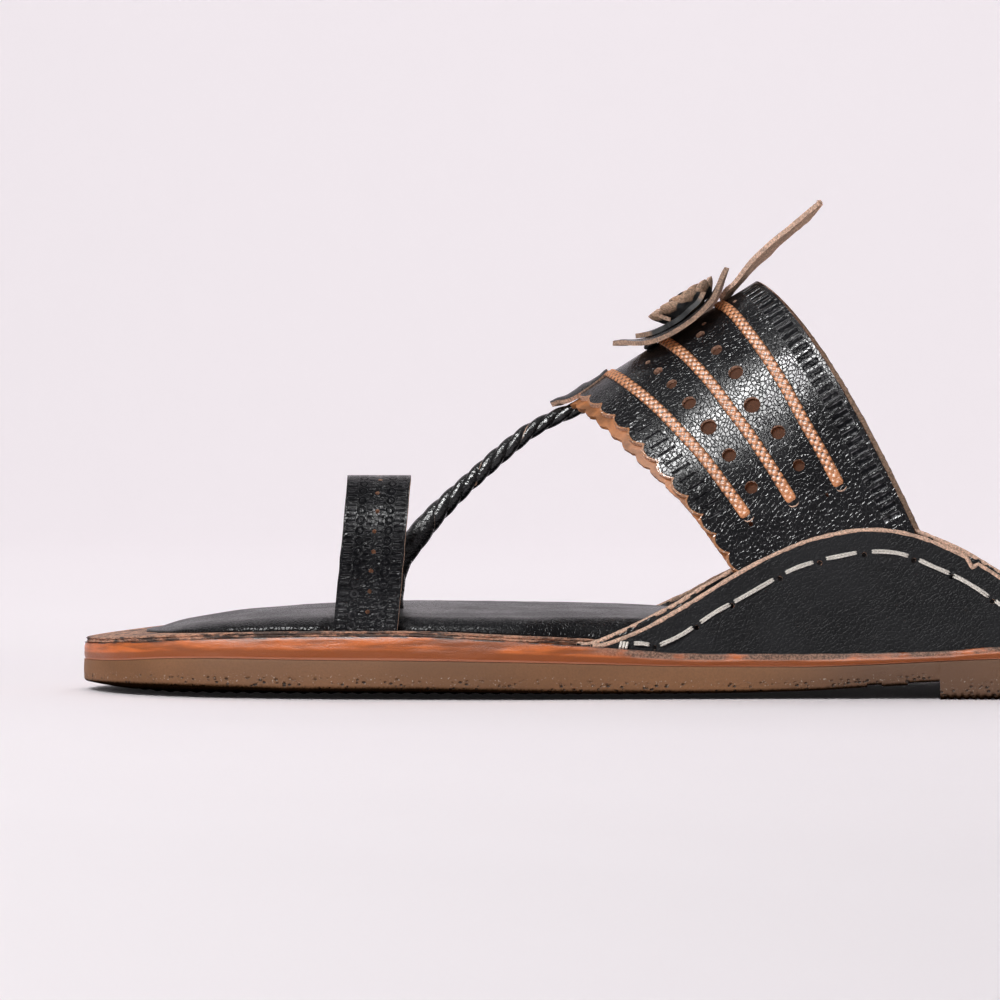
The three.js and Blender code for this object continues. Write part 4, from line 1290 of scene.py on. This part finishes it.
def flower_disc(name, radius, lobes, wave, dish, height, curl, seed, materials, node):
    """Petal layer: radius waves with the lobes, height = dish[0] (a/r)^2.6 + dish[1] (b/r)^2 with a
    along the ridge and b across it, its end towards the heel turned up by dish[2], and the rim curls
    by a random amount. Rows go out from the middle, columns round it."""
    share = np.linspace(0, 1, 26)[:, None]
    angle = np.linspace(0, 2 * np.pi, POINTS["disc"])[None]
    reach = radius * share * (1 + wave * share * np.cos(lobes * angle))
    reach = reach + 0.16 * wander(angle * radius * 2, 0, 1.1, seed=seed) * share ** 8
    a, b = reach * np.cos(angle), reach * np.sin(angle)
    turned = dish[2] * smooth((a / radius - 0.55) / 0.45)
    lift = dish[0] * np.abs(a / radius) ** 2.6 + dish[1] * (b / radius) ** 2 + turned
    lift = lift + curl * share ** 3 * wander(np.cos(angle) * 9, np.sin(angle) * 9, 4.5, seed=seed)
    grid = on_ridge(a, b, height + lift)
    grid[:, -1] = grid[:, 0]
    end = smooth((np.abs(a) / radius - 0.62) / 0.15)
    piece = mesh_object(name, grid, grid_quads(*grid.shape[:2]), {"end": end})
    mesh = bmesh.new()
    mesh.from_mesh(piece.data)
    bmesh.ops.remove_doubles(mesh, verts=mesh.verts, dist=MERGE)
    bmesh.ops.recalc_face_normals(mesh, faces=mesh.faces)
    mesh.normal_update()
    if sum(face.normal.dot(Vector(OUT)) for face in mesh.faces) < 0:
        bmesh.ops.reverse_faces(mesh, faces=mesh.faces)
    thickened(piece, mesh, sizes().leather)
    place(piece, materials, node)


def flower():
    """Base, petals and rolled rosette of the flower, the knot below it and the strip behind it."""
    back, raw = edge_finishes()
    edge = raw_leather("flower_edge", FLOWER_EDGE, 0.8, 0.35, 0.45, 0.06)
    skin = black_leather("flower_leather", 0.26, 0.7, 0.05)
    height = WALL / 2 + 0.4 + sizes().leather
    flower_disc("flower_base_layer", 15.4, 6, 0.03, (4.7, -0.95, 0.3), height, 0.6, 81, [skin, back, edge],
                "flower_base")
    flower_disc("flower_petal_layer", 9.9, 8, 0.07, (1.9, -0.2, 1.2), height + 1.2, 0.4, 82,
                [skin, back, petal_edge()], "flower_petals")
    rosette(height + 1.6, skin)
    strip("flower_tail_strip", TAIL, -0.17, 0.35, 0.4, [skin, back, raw], "flower_tail")
    knot(skin)


def rosette(height, skin):
    """Rolled strip, flesh side out: a spiral wall whose radius grows evenly with its angle, pinched at
    its foot, with a row of bulging lobes along its top."""
    turns, step = 3.6, 1.8
    angle = np.linspace(0, 2 * np.pi * turns, POINTS["rosette"])[:, None]
    share = np.linspace(0, 1, 18)[None]
    radius = 1.0 + step * angle / (2 * np.pi)
    run = step * angle ** 2 / (4 * np.pi) + angle
    lobe = np.abs(np.sin(np.pi * run / 4.2 + 0.4 * wander(run, 0, 5, seed=83))) ** 0.6
    tall = 2.2 - 0.10 * radius + 1.9 * lobe
    bulge = (1.5 * lobe - 0.4) * np.sin(np.pi * share.clip(0.35, 1) / 1.35 - 0.8) * smooth(radius / 4)
    out = radius * (1 - 0.22 * (1 - share) ** 2) + bulge
    a, b = 3.6 + out * np.cos(angle), out * np.sin(angle)
    grid = on_ridge(a, b, height + 0.2 + tall * share)
    # Painted shade, read by the suede: strongest at the foot and between the lobes.
    foot_shade = 1 - share + 0.8 * (1 - lobe)
    leather_sheet("flower_rosette", grid, 1.0, [skin, rosette_finish(), edge_finishes()[1]],
                  "flower_coil", values={"foot_shade": foot_shade})


def knot(skin):
    """Small knot of black leather that ties the flower down: a squat ball in front of the base."""
    turn = np.linspace(0, 2 * np.pi, 20, endpoint=False)[None]
    rise = np.linspace(-np.pi / 2, np.pi / 2, 12)[:, None]
    a = -8.6 + 1.9 * np.cos(rise) * np.cos(turn)
    b = -1.5 + 1.4 * np.cos(rise) * np.sin(turn)
    grid = on_ridge(a, b, WALL / 2 + 0.55 + 0.9 * np.sin(rise))
    closed_tubes("flower_knot", [(grid, {})], skin, "flower_base")


def strip(name, rows, tilt, pink, cup, materials, node):
    """Flat strip along a table's middle line, with its half width from the table. Its edges are
    pinked by a triangle wave and lifted by cup times the square of the share of the half width; a
    pinked strip ends in a fork, cut in as far as 1 - |side| allows."""
    number = np.arange(len(rows["x"]))
    line = {key: monotone(number, value) for key, value in rows.items()}
    at = np.linspace(0, number[-1], POINTS["strip"])[:, None]
    side = np.linspace(-1, 1, 25)[None]
    teeth = pink * (0.5 - np.abs(((at * 7 / 1.5) % 1) - 0.5)) * 2 * np.abs(side) ** 6
    across = side * (line["half"](at) - teeth)
    fork = (pink > 0) * 0.45 * (1 - np.abs(side)) * smooth((at - number[-1] + 1.2) / 1.2)
    along = np.clip(at - fork, 0, number[-1])
    curl = 0.25 * wander(at * 9, side * 6, 5, seed=91)
    tangent = unit(np.stack([np.gradient(line["x"](at[:, 0])), np.gradient(line["z"](at[:, 0]))], -1))
    lift = cup * side ** 2 * line["half"](at) / 4.6 + curl
    grid = np.stack([line["x"](along) - tangent[:, 1:2] * lift, across * math.cos(tilt),
                     line["z"](along) + tangent[:, 0:1] * lift + across * math.sin(tilt)], -1)
    grid = grid[:, ::-1] if faces_down(grid) else grid
    leather_sheet(name, grid, sizes().leather, materials, node)


def faces_down(grid):
    """Whether a grid's faces point down at its middle."""
    i, j = grid.shape[0] // 2, grid.shape[1] // 2
    return np.cross(grid[i, j + 1] - grid[i, j], grid[i + 1, j] - grid[i, j])[2] < 0


def nose_tab():
    """Leaf-shaped tab over the band's nose."""
    back, raw = edge_finishes()
    skin = black_leather("tab_leather", 0.3, 0.7, 0.06)
    strip("nose_tab_leaf", TAB, 0, 0.0, -1.3, [skin, back, raw], "nose_tab")


# ---------------------------------------------------------------- stage
CAMERA = {"azimuth": 4.3, "elevation": 1.65, "distance": 1.350, "target": (-0.0335, -0.0485, 0.046),
          "lens": 212.38}


def camera():
    """Camera on a sphere round its target."""
    turn, rise = math.radians(CAMERA["azimuth"]), math.radians(CAMERA["elevation"])
    back = Vector((math.sin(turn) * math.cos(rise), -math.cos(turn) * math.cos(rise), math.sin(rise)))
    data = bpy.data.cameras.new("camera")
    data.lens, data.sensor_width = CAMERA["lens"], 36
    data.clip_start, data.clip_end = 0.05, 20
    made = bpy.data.objects.new("camera", data)
    made.location = Vector(CAMERA["target"]) + back * CAMERA["distance"]
    made.rotation_euler = (-back).to_track_quat("-Z", "Y").to_euler()
    bpy.context.scene.collection.objects.link(made)
    bpy.context.scene.camera = made


def softbox(name, place_at, aim, size, power, diffuse=True, glossy=True):
    """Rectangular light that faces its aim, seen by dull surfaces, by glossy ones or by both."""
    data = bpy.data.lights.new(name, "AREA")
    data.shape = "RECTANGLE"
    data.size, data.size_y = size
    data.energy = power
    lamp = bpy.data.objects.new(name, data)
    lamp.location = place_at
    lamp.rotation_euler = (Vector(aim) - Vector(place_at)).to_track_quat("-Z", "Y").to_euler()
    lamp.visible_diffuse = diffuse
    lamp.visible_glossy = glossy
    bpy.context.scene.collection.objects.link(lamp)


KEY = {"place": (-0.44, -0.86, 0.88), "aim": (0.0, 0.0, 0.07)}  # main light, in metres
# Paper of the sweep, by y: how pale it is, and how much light from behind comes through it.
SWEEP_TONE = {
    "y": [-2600, -640, -570, -480, -400, -290, -170, -80, 100, 215, 330, 461, 700, 900, 1400],
    "pale": [0.94, 0.945, 0.945, 0.96, 0.995, 1.053, 1.12, 1.15, 1.15, 1.14, 1.12, 1.05, 1, 1, 1],
    "glow": [0, 0, 0, 0, 0, 0, 0, 0, 0.03, 0.10, 0.148, 0.204, 0.26, 0.255, 0.285],
}


def backdrop():
    """Seamless sweep: a flat floor, a quarter circle and a wall, as a profile carried along X."""
    floor_end, bend, wall = 900.0, 500.0, 1600.0
    arc = np.linspace(0, np.pi / 2, 24)
    flat = np.linspace(-2600, floor_end, 90)
    y = np.concatenate([flat, floor_end + bend * np.sin(arc), [floor_end + bend]])
    z = np.concatenate([0 * flat, bend * (1 - np.cos(arc)), [wall]]) - 0.05
    x = np.linspace(-2600, 2600, 20)
    grid = np.stack(np.broadcast_arrays(x[None], y[:, None], z[:, None]), -1)
    values = {name: np.broadcast_to(np.interp(y, SWEEP_TONE["y"], SWEEP_TONE[name])[:, None], grid.shape[:2])
              for name in ("glow", "pale")}
    piece = mesh_object("floor_sweep", grid, grid_quads(*grid.shape[:2]), values)
    finish = Finish("paper_sweep", 0.95)
    floor = tuple(colours().floor)
    pale = finish.node("ShaderNodeVectorMath", "Vector", {0: floor, "Scale": finish.attribute("pale")},
                       operation="SCALE")
    paper = finish.made(Base_Color=pale, Emission_Color=floor, Emission_Strength=finish.attribute("glow"))
    piece.data.materials.append(paper)


def stage():
    """Camera and sweep in a dim room, a main light in two parts, for dull surfaces and for shine, a
    wash from above for dull ones, and weak fills."""
    camera()
    backdrop()
    softbox("overhead", KEY["place"], KEY["aim"], (0.5, 0.22), 7.0)
    softbox("sheen", KEY["place"], KEY["aim"], (0.5, 0.30), 46.0, diffuse=False)
    softbox("top_wash", (0.05, 0.40, 1.30), (0.0, -0.10, 0.0), (0.9, 0.4), 2.0, glossy=False)
    softbox("front_fill", (-0.9, -1.3, 0.9), (0.0, 0.0, 0.05), (1.2, 0.9), 2.6)
    softbox("back_wash", (0.0, 0.7, 1.3), (0.0, 1.2, 0.3), (2.0, 0.5), 3.0)
    world = bpy.data.worlds.new("room")
    bpy.context.scene.world = world
    world.use_nodes = True
    room = world.node_tree.nodes["Background"].inputs
    room["Color"].default_value = (0.86, 0.83, 0.85, 1)
    room["Strength"].default_value = 0.33
    view = bpy.context.scene.view_settings
    view.view_transform, view.look = "Standard", "None"


# ---------------------------------------------------------------- operators
def operator(idname, label, about, *makers):
    """An operator class that runs the functions which make a group of pieces."""
    def execute(self, context):
        for maker in makers:
            maker()
        return {"FINISHED"}

    members = {"bl_idname": f"sandal.{idname}", "bl_label": label, "__doc__": about,
               "bl_options": {"REGISTER", "UNDO"}, "execute": execute}
    return type(f"SANDAL_OT_{idname}", (bpy.types.Operator,), members)


OPERATORS = [
    operator("stage", "Stage", "Adds the camera, the lights and the floor", stage),
    operator("outsole", "Outsole", "Adds the rubber sole", outsole),
    operator("midsole", "Midsole", "Adds the waxed leather midsole", midsole),
    operator("insole_board", "Insole Board", "Adds the raw insole board", insole_board),
    operator("footbed", "Footbed", "Adds the padded footbed", footbed),
    operator("band", "Band", "Adds the instep band with its lining, ribbons and slits", band, ribbons, slits),
    operator("wings", "Wings", "Adds the side wings, their edges and their stitching", wings, wing_edges,
             stitches),
    operator("toe_loop", "Toe Loop", "Adds the stamped toe loop", toe_loop),
    operator("toe_cord", "Toe Cord", "Adds the twisted cord", toe_cord),
    operator("nose_tab", "Nose Tab", "Adds the tab over the band's nose", nose_tab),
    operator("flower", "Flower", "Adds the flower and its tail", flower),
]


class SANDAL_PT_pieces(bpy.types.Panel):
    """Lists the settings and the pieces."""

    bl_idname = "SANDAL_PT_pieces"
    bl_label = "Sandal"
    bl_space_type = "VIEW_3D"
    bl_region_type = "UI"
    bl_category = "Sandal"

    def draw(self, context):
        for settings in (context.scene.sandal_sizes, context.scene.sandal_colours):
            box = self.layout.box()
            for name in settings.__annotations__:
                box.prop(settings, name)
        for made in OPERATORS:
            self.layout.operator(made.bl_idname)


CLASSES = [SandalSizes, SandalColours, *OPERATORS, SANDAL_PT_pieces]


def register():
    for made in CLASSES:
        bpy.utils.register_class(made)
    bpy.types.Scene.sandal_sizes = bpy.props.PointerProperty(type=SandalSizes)
    bpy.types.Scene.sandal_colours = bpy.props.PointerProperty(type=SandalColours)


def unregister():
    del bpy.types.Scene.sandal_colours
    del bpy.types.Scene.sandal_sizes
    for made in reversed(CLASSES):
        bpy.utils.unregister_class(made)


def main():
    """Registers the classes, makes every piece, and writes the CAD box and the visible box."""
    register()
    for made in OPERATORS:
        getattr(bpy.ops.sandal, made.bl_idname.split(".")[1])()


if __name__ == "__main__":
    main()
